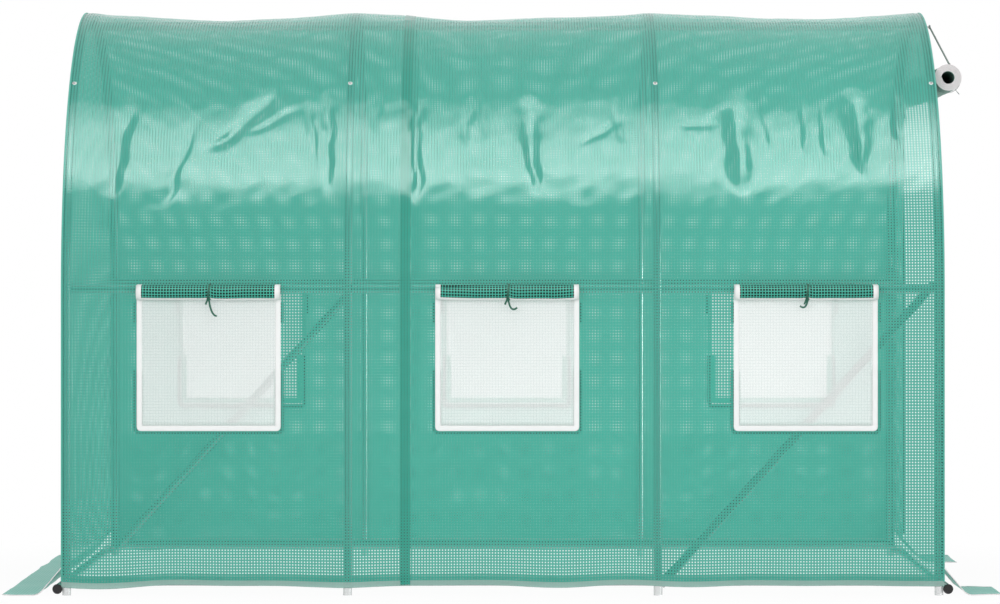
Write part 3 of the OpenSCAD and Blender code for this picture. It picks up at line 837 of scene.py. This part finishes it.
# the rolled-up door, with straps and cords that hold it
doorRoll = {
    "outer": 0.0470, "inner": 0.0222, "turns": 8, "steps": 26, "thick": 0.0027,
    "cadR": 0.0465, "stand": 0.0045, "step": 0.022, "inset": 0.002, "sag": 0.005,
    "waver": 0.0015, "waverRipple": (16, 0.4), "uneven": 0.010, "unevenRipple": (15, 0.3),
    "nip": 0.035, "nipWide": 0.03, "lobe": 0.018, "twist": 2.2, "lobeIn": 0.4,
    "tailRows": 7, "tailOff": 0.0026,
}
ties = {
    "rollY": 0.560, "buttonY": 0.250, "drop": 0.029, "out": 0.020, "cord": 0.0062, "points": 40,
    "strap": (0.012, 0.0016), "strapOff": 0.0024, "strapFrom": -128, "strapTo": 108,
    "toggleR": 0.0515, "toggleAt": 80, "toggleHalf": 0.009, "toggleGirth": 0.0042,
    "toggleForm": (0.35, 0.8, 1, 1, 1, 1, 1, 0.8, 0.35),
    # the button: distance along its stem as a share of the reach, and radius
    "stemOff": 0.0008, "stemReach": 0.026,
    "stem": (0, 0.0008, 0.0024, 0.004, 0.012, 0.020, 0.0215, 0.025, 0.0285, 0.0300),
    "stemR": (0.0070, 0.0076, 0.0070, 0.0016, 0.0014, 0.0016, 0.0066, 0.0076, 0.0062, 0.0004),
    # loose end of the strap: start, run to its tip, bend, and section
    "looseFrom": (0.030, 0.004, -0.037), "looseRun": (0.012, 0.010, -0.020), "looseBend": 0.004,
    "loose": (0.010, 0.0014), "looseFace": (1.0, 0.25, 0.2), "looseSteps": 16,
}
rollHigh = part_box("door_roll")[1]
rollAxis = np.array([rollHigh.x - doorRoll["cadR"] + doorRoll["stand"], rollHigh.z - doorRoll["cadR"]])


def doorBundle():
    # a tail up the end sheet from the doorway, over the top and round in a spiral, nipped at the straps
    angle, radius = rollSpiral(doorRoll)
    y = stepsBetween([-doorHalf + doorRoll["inset"], doorHalf - doorRoll["inset"]], doorRoll["step"])
    nip = np.exp(-((np.abs(y) - ties["rollY"]) / doorRoll["nipWide"]) ** 2)
    girth = 1 + doorRoll["uneven"] * ripple(y, 0 * y, *doorRoll["unevenRipple"]) - doorRoll["nip"] * nip
    waver = doorRoll["waver"] * ripple(y, 0 * y, *doorRoll["waverRipple"])
    droop = -doorRoll["sag"] * (1 - (y / ties["rollY"]) ** 2) + waver
    fade = np.linspace(1, doorRoll["lobeIn"], len(angle))[:, None]
    lobe = 1 + doorRoll["lobe"] * np.cos(2 * angle[:, None] + doorRoll["twist"] * y[None, :]) * fade
    r = radius[:, None] * girth[None, :] * lobe
    x = rollAxis[0] - r * np.cos(angle)[:, None]
    z = rollAxis[1] + droop[None, :] + r * np.sin(angle)[:, None]
    tail = np.linspace(0, 1, doorRoll["tailRows"])[:-1, None]
    wallX = endX + doorRoll["tailOff"]
    x = np.concatenate([wallX + (x[0] - wallX) * smooth(tail), x])
    z = np.concatenate([doorTop + (z[0] - doorTop) * tail, z])
    yy = np.broadcast_to(y, x.shape)
    run = runDown(x, z)
    piece = putMesh("door_roll_bundle", np.stack([x, yy, z], -1), gridFaces(*x.shape),
                    [doorRollMat, cutEdgeHighlightMat], np.stack([yy, run], -1), True)
    return thicken(piece, doorRoll["thick"]), float(run[-1].mean())


doorPiece, doorLength = doorBundle()
settle(doorPiece, ["door_roll"])
print("door rolled up,", round(doorLength, 3), "m of sheet")


def doorTies():
    # on each side a strap round the roll, a toggle on it, and a taut cord up to a button under the arch
    parts = []
    axisX, axisZ = rollAxis
    for side in (-1, 1):
        a = np.radians(np.linspace(ties["strapFrom"], ties["strapTo"], ties["points"]))
        r = doorRoll["outer"] + ties["strapOff"]
        sling = alongX(axisX + r * np.cos(a), side * ties["rollY"], axisZ + r * np.sin(a))
        parts.append(bandAlong(sling, alongX(np.cos(a), 0, np.sin(a)), *ties["strap"]))
        lean = ties["toggleR"] * math.cos(math.radians(ties["toggleAt"]))
        toggle = np.array([axisX + lean, side * ties["rollY"], axisZ + ties["toggleR"]])
        form = np.array(ties["toggleForm"])
        half = ties["toggleHalf"]
        bar = toggle + np.linspace(-half, half, len(form))[:, None] * np.array([0, 1, 0])
        parts.append(tubeAlong(bar, ties["toggleGirth"] * form, sides=14))
        buttonY = side * ties["buttonY"]
        buttonZ = legTop + math.sqrt(coverR ** 2 - ties["buttonY"] ** 2) - ties["drop"]
        t = np.linspace(0, 1, ties["points"])[:, None]
        button = np.array([endX + ties["out"], buttonY, buttonZ])
        parts.append(tubeAlong((1 - t) * toggle + t * button, ties["cord"] / 2, sides=12))
        # button on a short stem: circle of changing radius carried outwards
        out = np.array(ties["stem"]) * ties["out"] / ties["stemReach"]
        stem = alongX(endX + ties["stemOff"] + out, buttonY, buttonZ)
        parts.append(tubeAlong(stem, np.array(ties["stemR"]), sides=20))
        # loose strap end below the sling
        t = np.linspace(0, 1, ties["looseSteps"])
        x, y, z = [start + length * t for start, length in zip(ties["looseFrom"], ties["looseRun"])]
        loose = alongX(axisX + x, side * (ties["rollY"] + y), axisZ + z + ties["looseBend"] * t ** 2)
        parts.append(bandAlong(loose, turnedTo(side, ties["looseFace"]), *ties["loose"]))
    return putJoined("door_ties_cord", parts, [doorTieMat])


settle(doorTies(), ["door_ties"])

# windows: screen, border tape, rolled flap and its tie, in both long walls
windows = {
    "half": 0.245, "low": 0.560, "high": 1.035, "corner": 0.014, "innerCorner": 0.003,
    "cornerSteps": 7, "sideSteps": 30,
    # border tape: width, and its section as shares of the width and heights
    "tape": 0.018, "tapeOff": 0.0010, "pucker": 0.0005, "puckerWaves": 0.06, "puckerSeed": 40,
    "tapeAcross": (0.0, 0.0, 0.04, 0.16, 0.34, 0.5, 0.66, 0.84, 0.96, 1.0, 1.0),
    "tapeHigh": (-0.0004, 0.0006, 0.0013, 0.0016, 0.0015, 0.0016, 0.0015, 0.0016, 0.0013, 0.0006, -0.0004),
    # tapes inside the wall: half width of their line, its foot, and the tape's width
    "backing": (0.2235, 0.5955, 0.021), "shadeWelt": (0.2400, 0.5755, 0.013),
    "backingBend": 0.012, "backingThick": 0.0012, "backingIn": 0.0036, "backingTop": 0.766,
    "bendSteps": 9, "riseSteps": 15, "footSteps": 20, "frontShift": 0.0095,
    "cornerStrip": (0.0045, 0.012), "cornerLow": 0.930, "cornerHigh": 1.000, "stripSteps": 8,
    "net": 41, "netLap": 0.001, "netHollow": 0.004, "netWave": 0.0025, "netWaves": 1.2,
}
flapRoll = {
    "outer": 0.0256, "inner": 0.0135, "turns": 4, "steps": 24, "z": 1.033, "y": 1.0301, "thick": 0.0014,
    "inset": 0.001, "step": 0.0125, "uneven": 0.010, "unevenWaves": 0.16,
    "nip": 0.05, "nipAt": 0.003, "nipWide": 0.012,
    "lobe": 0.03, "twist": 6, "lobeOut": 0.5, "tailRows": 5, "tailOff": 0.0042, "tailTop": 0.026,
    # girth at the left end, middle and right end of each roll, and how far its left end hangs
    "girthX": (-0.245, -0.10, 0.03, 0.16, 0.245),
    "girth": ((1.03, 1.05, 1.03, 0.0), (0.85, 1.07, 1.0, 0.004), (1.03, 1.04, 1.01, 0.0)),
}
ribbon = {
    "loop": (0.008, 0.0014), "loopOff": 0.0012, "loopIn": 0.0004, "x": 0.003, "skew": 0.003, "loopSteps": 41,
    # knot: place from the roll's middle, share of the radius below it, turns, size and section
    "knotX": 0.004, "knotY": 0.016, "knotDrop": 0.86, "knotTurns": (0.4, 1.9), "knotR": 0.0042,
    "knot": (0.006, 0.0022), "knotLean": (0.2, 0.8, -0.5), "knotSteps": 25,
    # tails: sideways swing, drop, and sweep of the drop's sine, for each window
    "tails": ((0.026, 0.055, math.pi / 2), (0.030, 0.032, 2.2), (-0.026, 0.026, 2.2)),
    "tail": (0.0065, 0.0010), "tailStart": 0.35, "tailDrop": 0.002, "tailOut": 0.001, "tailIn": 0.010,
    "tailFace": (0.15, 1, 0.1), "tailSteps": 26,
    "shortX": (0.004, 0.008), "shortDrop": 0.018, "shortFace": (0.1, 1, 0.1),
}


def roundedRing(half, low, high, radius):
    # rounded rectangle as a closed line, the same number of points on each straight and corner
    cx, cz = half - radius, (high - low) / 2 - radius
    a = (np.arange(4)[:, None] + np.linspace(0, 1, windows["cornerSteps"])) * math.pi / 2
    signs = np.array(((1, 1), (-1, 1), (-1, -1), (1, -1)))[:, None]
    corners = signs * np.array([cx, cz]) + radius * np.stack([np.cos(a), np.sin(a)], -1)
    t = np.linspace(0, 1, windows["sideSteps"] + 2)[1:-1, None]
    straights = (1 - t) * corners[:, -1:] + t * np.roll(corners, -1, 0)[:, :1]
    return np.concatenate([corners, straights], 1).reshape(-1, 2) + np.array([0, (low + high) / 2])


def windowBorder(name, xc, side):
    # inner and outer rounded rectangles joined by a low domed section, with a flat back
    half, low, high, tape = [windows[key] for key in ("half", "low", "high", "tape")]
    outer = roundedRing(half, low, high, windows["corner"])
    inner = roundedRing(half - tape, low + tape, high - tape, windows["innerCorner"])
    w = np.array(windows["tapeAcross"])[:, None]
    h = np.array(windows["tapeHigh"])[:, None]
    ring = inner[None] * (1 - w)[..., None] + outer[None] * w[..., None]
    run = runAlong((inner + outer) / 2)
    seed = windows["puckerSeed"] + int(xc * 10)
    pucker = windows["pucker"] * (1 + ripple(run, 0 * run, seed, windows["puckerWaves"]))
    y = side * (coverR + windows["tapeOff"] + h + (h > 0) * pucker[None, :])
    points = np.stack([xc + ring[..., 0], y, ring[..., 1]], -1)
    flat = np.stack(np.broadcast_arrays(run[None, :], w * tape), -1)
    return putMesh(name, points, gridFaces(*y.shape, wrapColumns=True), [tapeMat], flat, side < 0)


def windowBacking(name, xc, side):
    # green tape round the foot of the window inside the wall, in a near-black welt, painted shade of the
    # window border, that also holds the top corners
    y, facing = side * (coverR - windows["backingIn"]), (0.0, -side, 0.0)
    # on the front walls both tapes sit further out, so the welt shows just beside the border as its painted
    # shadow
    shift = windows["frontShift"] if side < 0 else 0.0
    bend, thick = windows["backingBend"], windows["backingThick"]
    a = np.linspace(0, math.pi / 2, windows["bendSteps"])
    parts = []
    for half, low, wide in (windows["backing"], windows["shadeWelt"]):
        half, low = half + shift, low - 2 * shift
        corner = np.stack([half - bend * (1 - np.sin(a)), low + bend * (1 - np.cos(a))], -1)
        rise = np.linspace((half, low + bend), (half, windows["backingTop"]), windows["riseSteps"])[1:]
        foot = np.linspace((0, low), (half - bend, low), windows["footSteps"])[:-1]
        right = np.concatenate([foot, corner, rise])
        path = np.concatenate([right[::-1] * np.array([-1, 1]), right[1:]])
        parts.append(bandAlong(alongX(xc + path[:, 0], y, path[:, 1]), facing, wide, thick))
    off, wide = windows["cornerStrip"]
    rise = np.linspace(windows["cornerLow"], windows["cornerHigh"], windows["stripSteps"])
    for hand in (-1, 1):
        strip = alongX(xc + hand * (windows["half"] + off), y, rise)
        parts.append(bandAlong(strip, facing, wide, thick))
    inShadeWelt = np.arange(sum(len(part[1]) for part in parts)) >= len(parts[0][1])
    return putJoined(name, parts, [seamMat, shadeWeltMat], inShadeWelt)


def windowScreen(name, xc, side, seed):
    # nearly flat net that hollows a little in the middle
    low, high, lap = cover["openLow"], cover["openHigh"], windows["netLap"]
    t = np.linspace(-1, 1, windows["net"])
    b, a = np.meshgrid(t, t, indexing="ij")
    x = xc + a * (cover["openHalf"] + lap)
    z = (low + high) / 2 + b * ((high - low) / 2 + lap)
    wave = windows["netWave"] * ripple(a, b, seed, windows["netWaves"])
    hollow = (1 - a ** 4) * (1 - b ** 4) * (windows["netHollow"] + wave)
    points = np.stack([x, side * (coverR - hollow), z], -1)
    return putMesh(name, points, gridFaces(*x.shape), [screenMat], np.stack([x - xc, z], -1), side > 0)


def windowRoll(name, xc, side, girths, seed):
    # a tail down the wall, in under the roll and round outwards in a spiral, nipped at the tie
    angle, radius = rollSpiral(flapRoll)
    half, outer = windows["half"], flapRoll["outer"]
    x = stepsBetween([-half + flapRoll["inset"], half - flapRoll["inset"]], flapRoll["step"])
    left, mid, right, hang = girths
    girth = np.interp(x, flapRoll["girthX"], [left, (left + 2 * mid) / 3, mid, mid, right])
    nip = np.exp(-((x - flapRoll["nipAt"]) / flapRoll["nipWide"]) ** 2)
    uneven = flapRoll["uneven"] * ripple(x, 0 * x, seed, flapRoll["unevenWaves"])
    girth = girth + uneven - flapRoll["nip"] * nip
    fade = np.linspace(flapRoll["lobeOut"], 1, len(angle))[:, None]
    lobe = 1 + flapRoll["lobe"] * np.cos(2 * angle[:, None] + flapRoll["twist"] * x[None, :] + seed) * fade
    r = radius[:, None] * girth[None, :] * lobe
    out = flapRoll["y"] - (outer - outer * girth)[None, :] - r * np.cos(angle)[:, None]
    z = flapRoll["z"] - (hang * smooth(-x / half))[None, :] - r * np.sin(angle)[:, None]
    tail = np.linspace(0, 1, flapRoll["tailRows"])[:-1, None]
    wallY, topZ = coverR + flapRoll["tailOff"], flapRoll["z"] + flapRoll["tailTop"]
    out = np.concatenate([wallY + (out[0] - wallY) * smooth(tail), out])
    z = np.concatenate([topZ + (z[0] - topZ) * tail, z])
    xx = np.broadcast_to(x, z.shape)
    run = runDown(out, z)
    piece = putMesh(name, np.stack([xc + xx, side * out, z], -1), gridFaces(*z.shape),
                    [windowRollMat, tapeMat], np.stack([xx, run], -1), side > 0)
    return thicken(piece, flapRoll["thick"]), float(run[-1].mean())


def windowTie(name, xc, side, tail, girth):
    # ribbon round the roll, a knot of two rings under it, a hanging tail and a short end
    a = np.linspace(0, tau, ribbon["loopSteps"])
    r = (flapRoll["outer"] + ribbon["loopOff"]) * girth - ribbon["loopIn"]
    loop = alongX(xc + ribbon["x"] + ribbon["skew"] * np.sin(a), side * (flapRoll["y"] + r * np.cos(a)),
                  flapRoll["z"] + r * np.sin(a))
    parts = [bandAlong(loop, alongX(0, side * np.cos(a), np.sin(a)), *ribbon["loop"])]
    knot = np.array([xc + ribbon["knotX"], side * (flapRoll["y"] + ribbon["knotY"]),
                     flapRoll["z"] - r * ribbon["knotDrop"]])
    b = np.linspace(0, tau, ribbon["knotSteps"])[:, None]
    second = turnedTo(side, ribbon["knotLean"])
    for turn in ribbon["knotTurns"]:
        first = np.array([math.cos(turn), 0, math.sin(turn)])
        ring = knot + ribbon["knotR"] * (np.cos(b) * first + np.sin(b) * second)
        parts.append(bandAlong(ring, ring - knot, *ribbon["knot"]))
    swing, drop, sweep = tail
    t = np.linspace(0, 1, ribbon["tailSteps"])
    x = knot[0] + swing * t * (ribbon["tailStart"] + (1 - ribbon["tailStart"]) * t)
    y = knot[1] + side * (ribbon["tailOut"] - ribbon["tailIn"] * smooth(t))
    z = knot[2] - drop * np.sin(t * sweep) - ribbon["tailDrop"]
    parts.append(bandAlong(alongX(x, y, z), turnedTo(side, ribbon["tailFace"]), *ribbon["tail"]))
    start, length = ribbon["shortX"]
    short = alongX(knot[0] - start - length * t, knot[1], knot[2] - ribbon["shortDrop"] * t)
    parts.append(bandAlong(short, turnedTo(side, ribbon["shortFace"]), *ribbon["tail"]))
    return putJoined(name, parts, [tieMat])


for side, wall in ((-1, "front"), (1, "back")):
    for n, xc in enumerate(windowX):
        tag = f"{wall}_{n + 1}"
        girths = flapRoll["girth"][n if side < 0 else 2 - n]
        settle(windowBorder(f"window_border_{tag}", xc, side), ["window_borders"])
        settle(windowBacking(f"window_backing_{tag}", xc, side))
        net = windowScreen(f"window_screen_{tag}", xc, side, 60 + n)
        settle(net, ["window_screens"])
        roll, rolled = windowRoll(f"window_roll_{tag}", xc, side, girths, 70 + n + 3 * (side > 0))
        settle(roll, ["window_rolls"])
        settle(windowTie(f"window_tie_{tag}", xc, side, ribbon["tails"][n], girths[1]))
print("windows made,", round(rolled, 3), "m of sheet in the last rolled flap")

# bolts with washers through the crown joints, and nuts where the rails cross the hoops
bolts = {
    # of each piece: full radius, sides, heights along the axis, and radii there as shares of the full one
    "washerR": 0.0074, "washerSides": 28, "washerOff": 0.0016,
    "washer": (0, 0.0003, 0.0014, 0.0020, 0.0021, 0.0018),
    "washerForm": (0.96, 1, 1, 0.86, 0.62, 0.30),
    "headR": 0.0044, "headSides": 24, "head": (0.0012, 0.0030, 0.0042, 0.0050, 0.0053),
    "headForm": (1, 1, 0.86, 0.5, 0.05),
    "nutR": 0.0075, "nutSides": 6, "nut": (0, 0.0001, 0.0048, 0.0060, 0.0061),
    "nutForm": (0.5, 1, 1, 0.86, 0.5), "nutSunk": 0.001,
    "endR": 0.0032, "endSides": 16, "end": (0.0054, 0.0100, 0.0112, 0.0115), "endForm": (1, 1, 0.75, 0.0625),
    "rails": ("front_waist_rail", "back_waist_rail", "front_bottom_rail", "back_bottom_rail"),
}


def turnedOn(base, way, piece):
    # circles of the piece's radii at its heights along a direction
    path = base + np.outer(bolts[piece], way)
    radii = bolts[piece + "R"] * np.array(bolts[piece + "Form"])
    return tubeAlong(path, radii, bolts[piece + "Sides"], up=(1, 0, 0))


def jointBolts():
    # at each crown joint the bolt head stands on its washer over the film
    heads, washers = [], []
    for x in hoopX:
        for a in np.radians([cover["bolts"], 180 - cover["bolts"]]):
            way = np.array([0, -math.cos(a), math.sin(a)])
            base = np.array([x, 0, legTop]) + (coverR + bolts["washerOff"]) * way
            washers.append(turnedOn(base, way, "washer"))
            heads.append(turnedOn(base, way, "head"))
    return heads, washers


def railNuts():
    # six-sided nut with a rounded bolt end, on the inner face of each rail
    parts = []
    for rail in bolts["rails"]:
        low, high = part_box(rail)
        inward = 1.0 if low.y < 0 else -1.0
        face = high.y if low.y < 0 else low.y
        for x in hoopX:
            base = np.array([x, face - inward * bolts["nutSunk"], (low.z + high.z) / 2])
            parts += [turnedOn(base, np.array([0, inward, 0]), piece) for piece in ("nut", "end")]
    return parts


heads, washers = jointBolts()
settle(putJoined("crown_joint_bolts", heads, [steelMat]))
settle(putJoined("crown_joint_washers", washers, [washerMat]))
settle(putJoined("rail_nuts", railNuts(), [steelMat]))

# bound edges where the cover meets the end sheets
binding = {
    "bead": 0.0026, "beadIn": 0.0006, "beadBack": 0.0004, "tape": 0.014, "thick": 0.0013, "tapeIn": 0.0035,
    "tapeOff": 0.0010, "from": 0.020, "wallSteps": 60, "archSteps": 160,
}


def endBinding(name, side):
    # a piped bead round the corner with a flat tape beside it on the end sheet
    rise = np.linspace(hemZ + binding["from"], legTop, binding["wallSteps"])[:-1]
    turn = np.linspace(0, math.pi, binding["archSteps"])
    turned = np.concatenate([0 * rise, turn, 0 * rise + math.pi])
    lift = np.concatenate([rise, 0 * turn + legTop, rise[::-1]])
    normal = alongX(0, -np.cos(turned), np.sin(turned))
    base = alongX(0, 0, lift)
    x = np.array([side, 0.0, 0.0])
    bead = base + (coverR - binding["beadIn"]) * normal + x * (endX - binding["beadBack"])
    tapeR = coverR - binding["tapeIn"] - binding["tape"] / 2
    onEnd = base + tapeR * normal + x * (endX + binding["tapeOff"])
    parts = [tubeAlong(bead, binding["bead"], sides=10, up=(1, 0, 0)),
             bandAlong(onEnd, x, binding["tape"], binding["thick"])]
    return putJoined(name, parts, [bindingMat])


settle(endBinding("left_edge_binding", -1))
settle(endBinding("right_edge_binding", 1))

# zips down both sides of the doorway, run up to the top
zips = {
    "tape": (0.030, 0.0012), "beside": 0.008, "off": 0.0030, "low": 0.110, "over": 0.010, "tapeRows": 120,
    # teeth: pitch, radius, mean and swell of the radius, and place on the tape
    "tooth": 0.0040, "teethR": 0.0024, "teethMean": 0.80, "teethSwell": 0.28,
    "teethOff": 0.0012, "teethIn": 0.016, "toothRows": 3,
    "slider": (0, 0.001, 0.004, 0.010, 0.014, 0.015),
    "sliderR": (0.001, 0.0048, 0.0058, 0.0068, 0.0060, 0.001), "sliderOff": 0.003, "sliderDrop": 0.030,
    "pull": 0.034, "pullOff": 0.0085, "pullBow": 0.003, "pullDrop": 0.016, "pullSteps": 12,
    "pullSection": (0.0065, 0.0016),
}


def doorZips():
    # on each side a flat tape, a row of teeth along it, and a slider with its pull
    tapes, teeth = [], []
    for side in (-1, 1):
        y, x = side * (doorHalf + zips["beside"]), endX + zips["off"]
        line = alongX(x, y, np.linspace(zips["low"], doorTop + zips["over"], zips["tapeRows"]))
        tapes.append(bandAlong(line, (1.0, 0, 0), *zips["tape"]))
        # teeth: a cord whose radius swells once for each tooth
        y = y - side * zips["teethIn"]
        count = int((doorTop - zips["low"]) / zips["tooth"])
        t = np.linspace(0, count, count * zips["toothRows"] + 1)
        swell = zips["teethR"] * (zips["teethMean"] + zips["teethSwell"] * np.cos(tau * t))
        row = alongX(x + zips["teethOff"], y, zips["low"] + t * zips["tooth"])
        teeth.append(tubeAlong(row, swell, sides=8, up=(1, 0, 0)))
        # slider: a rounded block with a flat pull hanging from it
        body = alongX(x + zips["sliderOff"], y, doorTop - zips["sliderDrop"] + np.array(zips["slider"]))
        teeth.append(tubeAlong(body, np.array(zips["sliderR"]), sides=12, up=(1, 0, 0)))
        t = np.linspace(0, 1, zips["pullSteps"])
        pull = alongX(x + zips["pullOff"] + zips["pullBow"] * np.sin(math.pi * t), y,
                      doorTop - zips["pullDrop"] - zips["pull"] * t)
        teeth.append(bandAlong(pull, (1.0, 0, 0), *zips["pullSection"]))
    return tapes, teeth


tapes, teeth = doorZips()
settle(putJoined("door_zip_tapes", tapes, [zipMat]))
settle(putJoined("door_zip_teeth", teeth, [capMat]))
print("bolts, bound edges and zips made")

# studio: pale floor, white surround, soft boxes
studio = {
    "ambient": 0.40, "white": rgb(1, 1, 1), "paint": rgb(0.80, 0.80, 0.80), "floorZ": -0.0008,
    "floorRings": (0, 3, 9, 60), "floorSides": 64,
    # soft shade under the object: depth, half sizes, and the share of them where it starts to fade
    "shade": 0.04, "shadeX": 2.4, "shadeY": 1.9, "shadeFrom": 0.7, "shadeFade": 0.5,
}
softBoxes = {
    # width, depth, place, turn about X and Z in degrees, watts; for gloss, for plain light
    "roofBox": (4.0, 1.0, (0, -3.40, 4.5), (0, 0), 114.0, True, False),
    "roofMiddle": (4.0, 1.0, (0, -2.40, 4.5), (0, 0), 90.0, True, False),
    "roofSoft": (4.0, 0.4, (0, -1.70, 4.5), (0, 0), 25.0, True, False),
    "roofFade": (4.0, 0.4, (0, -1.30, 4.5), (0, 0), 12.0, True, False),
    "roofStrip": (4.0, 0.4, (0, -4.10, 4.45), (0, 0), 25.0, True, False),
    "roofEdge": (4.0, 0.25, (0, -4.42, 4.45), (0, 0), 8.0, True, False),
    "sideStrip": (0.8, 3.0, (6.0, -3.2, 1.3), (90, 90), 225.0, True, False),
    "frontFill": (10.0, 4.0, (0, -9.0, 2.2), (90, 0), 448.0, False, True),
    "topFill": (7.0, 5.0, (0, -0.5, 6.5), (0, 0), 155.0, False, True),
    "backBox": (12.0, 5.0, (0, 7.0, 2.4), (-90, 0), 70.0, False, True),
    "insideFill": (2.6, 0.4, (0, 0.2, 0.40), (80, 0), 7.0, False, True),
    "doorBox": (1.2, 1.5, (1.53, 0.0, 0.88), (90, 90), 6.0, True, True),
}


def seenDirectly(wire):
    # 1 for rays that show the surround itself: from the camera, off gloss, through clear film
    path = wire.add("LightPath")
    seen, gloss, clear = [path.other(f"Is {ray} Ray") for ray in ("Camera", "Glossy", "Transmission")]
    return seen.math("MAXIMUM", gloss).math("MAXIMUM", clear)


world = bpy.data.worlds.new("surround")
scene.world = world
world.use_nodes = True
world.node_tree.nodes.clear()
air = Wire(world.node_tree)
dim, white = [air.add("Background", {}, {"Color": studio["white"], "Strength": strength})
              for strength in (studio["ambient"], 1.0)]
sky = seenDirectly(air).shade(dim, white)
worldOut = world.node_tree.nodes.new("ShaderNodeOutputWorld")
world.node_tree.links.new(sky.socket, worldOut.inputs["Surface"])


def paleFloor():
    # white where it is seen, less a soft shade under the object, and plain paint for all other light
    made, wire = newMaterial("pale_floor")
    x = wire.add("SeparateXYZ", {}, {0: objectCoords(wire)})
    away = ((x / studio["shadeX"]) ** 2 + (x.other(1) / studio["shadeY"]) ** 2) ** 0.5
    shaded = (1 - ((away - studio["shadeFrom"]) / studio["shadeFade"]).clamp()) * studio["shade"]
    paint = wire.add("BsdfDiffuse", {}, {"Color": studio["paint"]})
    bright = wire.add("Emission", {}, {"Color": studio["white"], "Strength": 1.0})
    return finishMaterial(made, (seenDirectly(wire) * (1 - shaded)).shade(paint, bright))


around = np.linspace(0, tau, studio["floorSides"], endpoint=False)
discX, discY = [np.outer(studio["floorRings"], part) for part in (np.cos(around), np.sin(around))]
disc = alongX(discX, discY, studio["floorZ"])
floor = putMesh("floor", disc, gridFaces(*discX.shape, wrapColumns=True), [paleFloor()])

for name, (wide, deep, spot, (tilt, turn), power, gloss, plain) in softBoxes.items():
    lamp = bpy.data.lights.new(name, "AREA")
    lamp.shape, lamp.size, lamp.size_y, lamp.energy = "RECTANGLE", wide, deep, power
    box = bpy.data.objects.new(name, lamp)
    box.location, box.rotation_euler = spot, (math.radians(tilt), 0, math.radians(turn))
    box.visible_camera, box.visible_glossy, box.visible_diffuse = False, gloss, plain
    scene.collection.objects.link(box)
print("studio set")
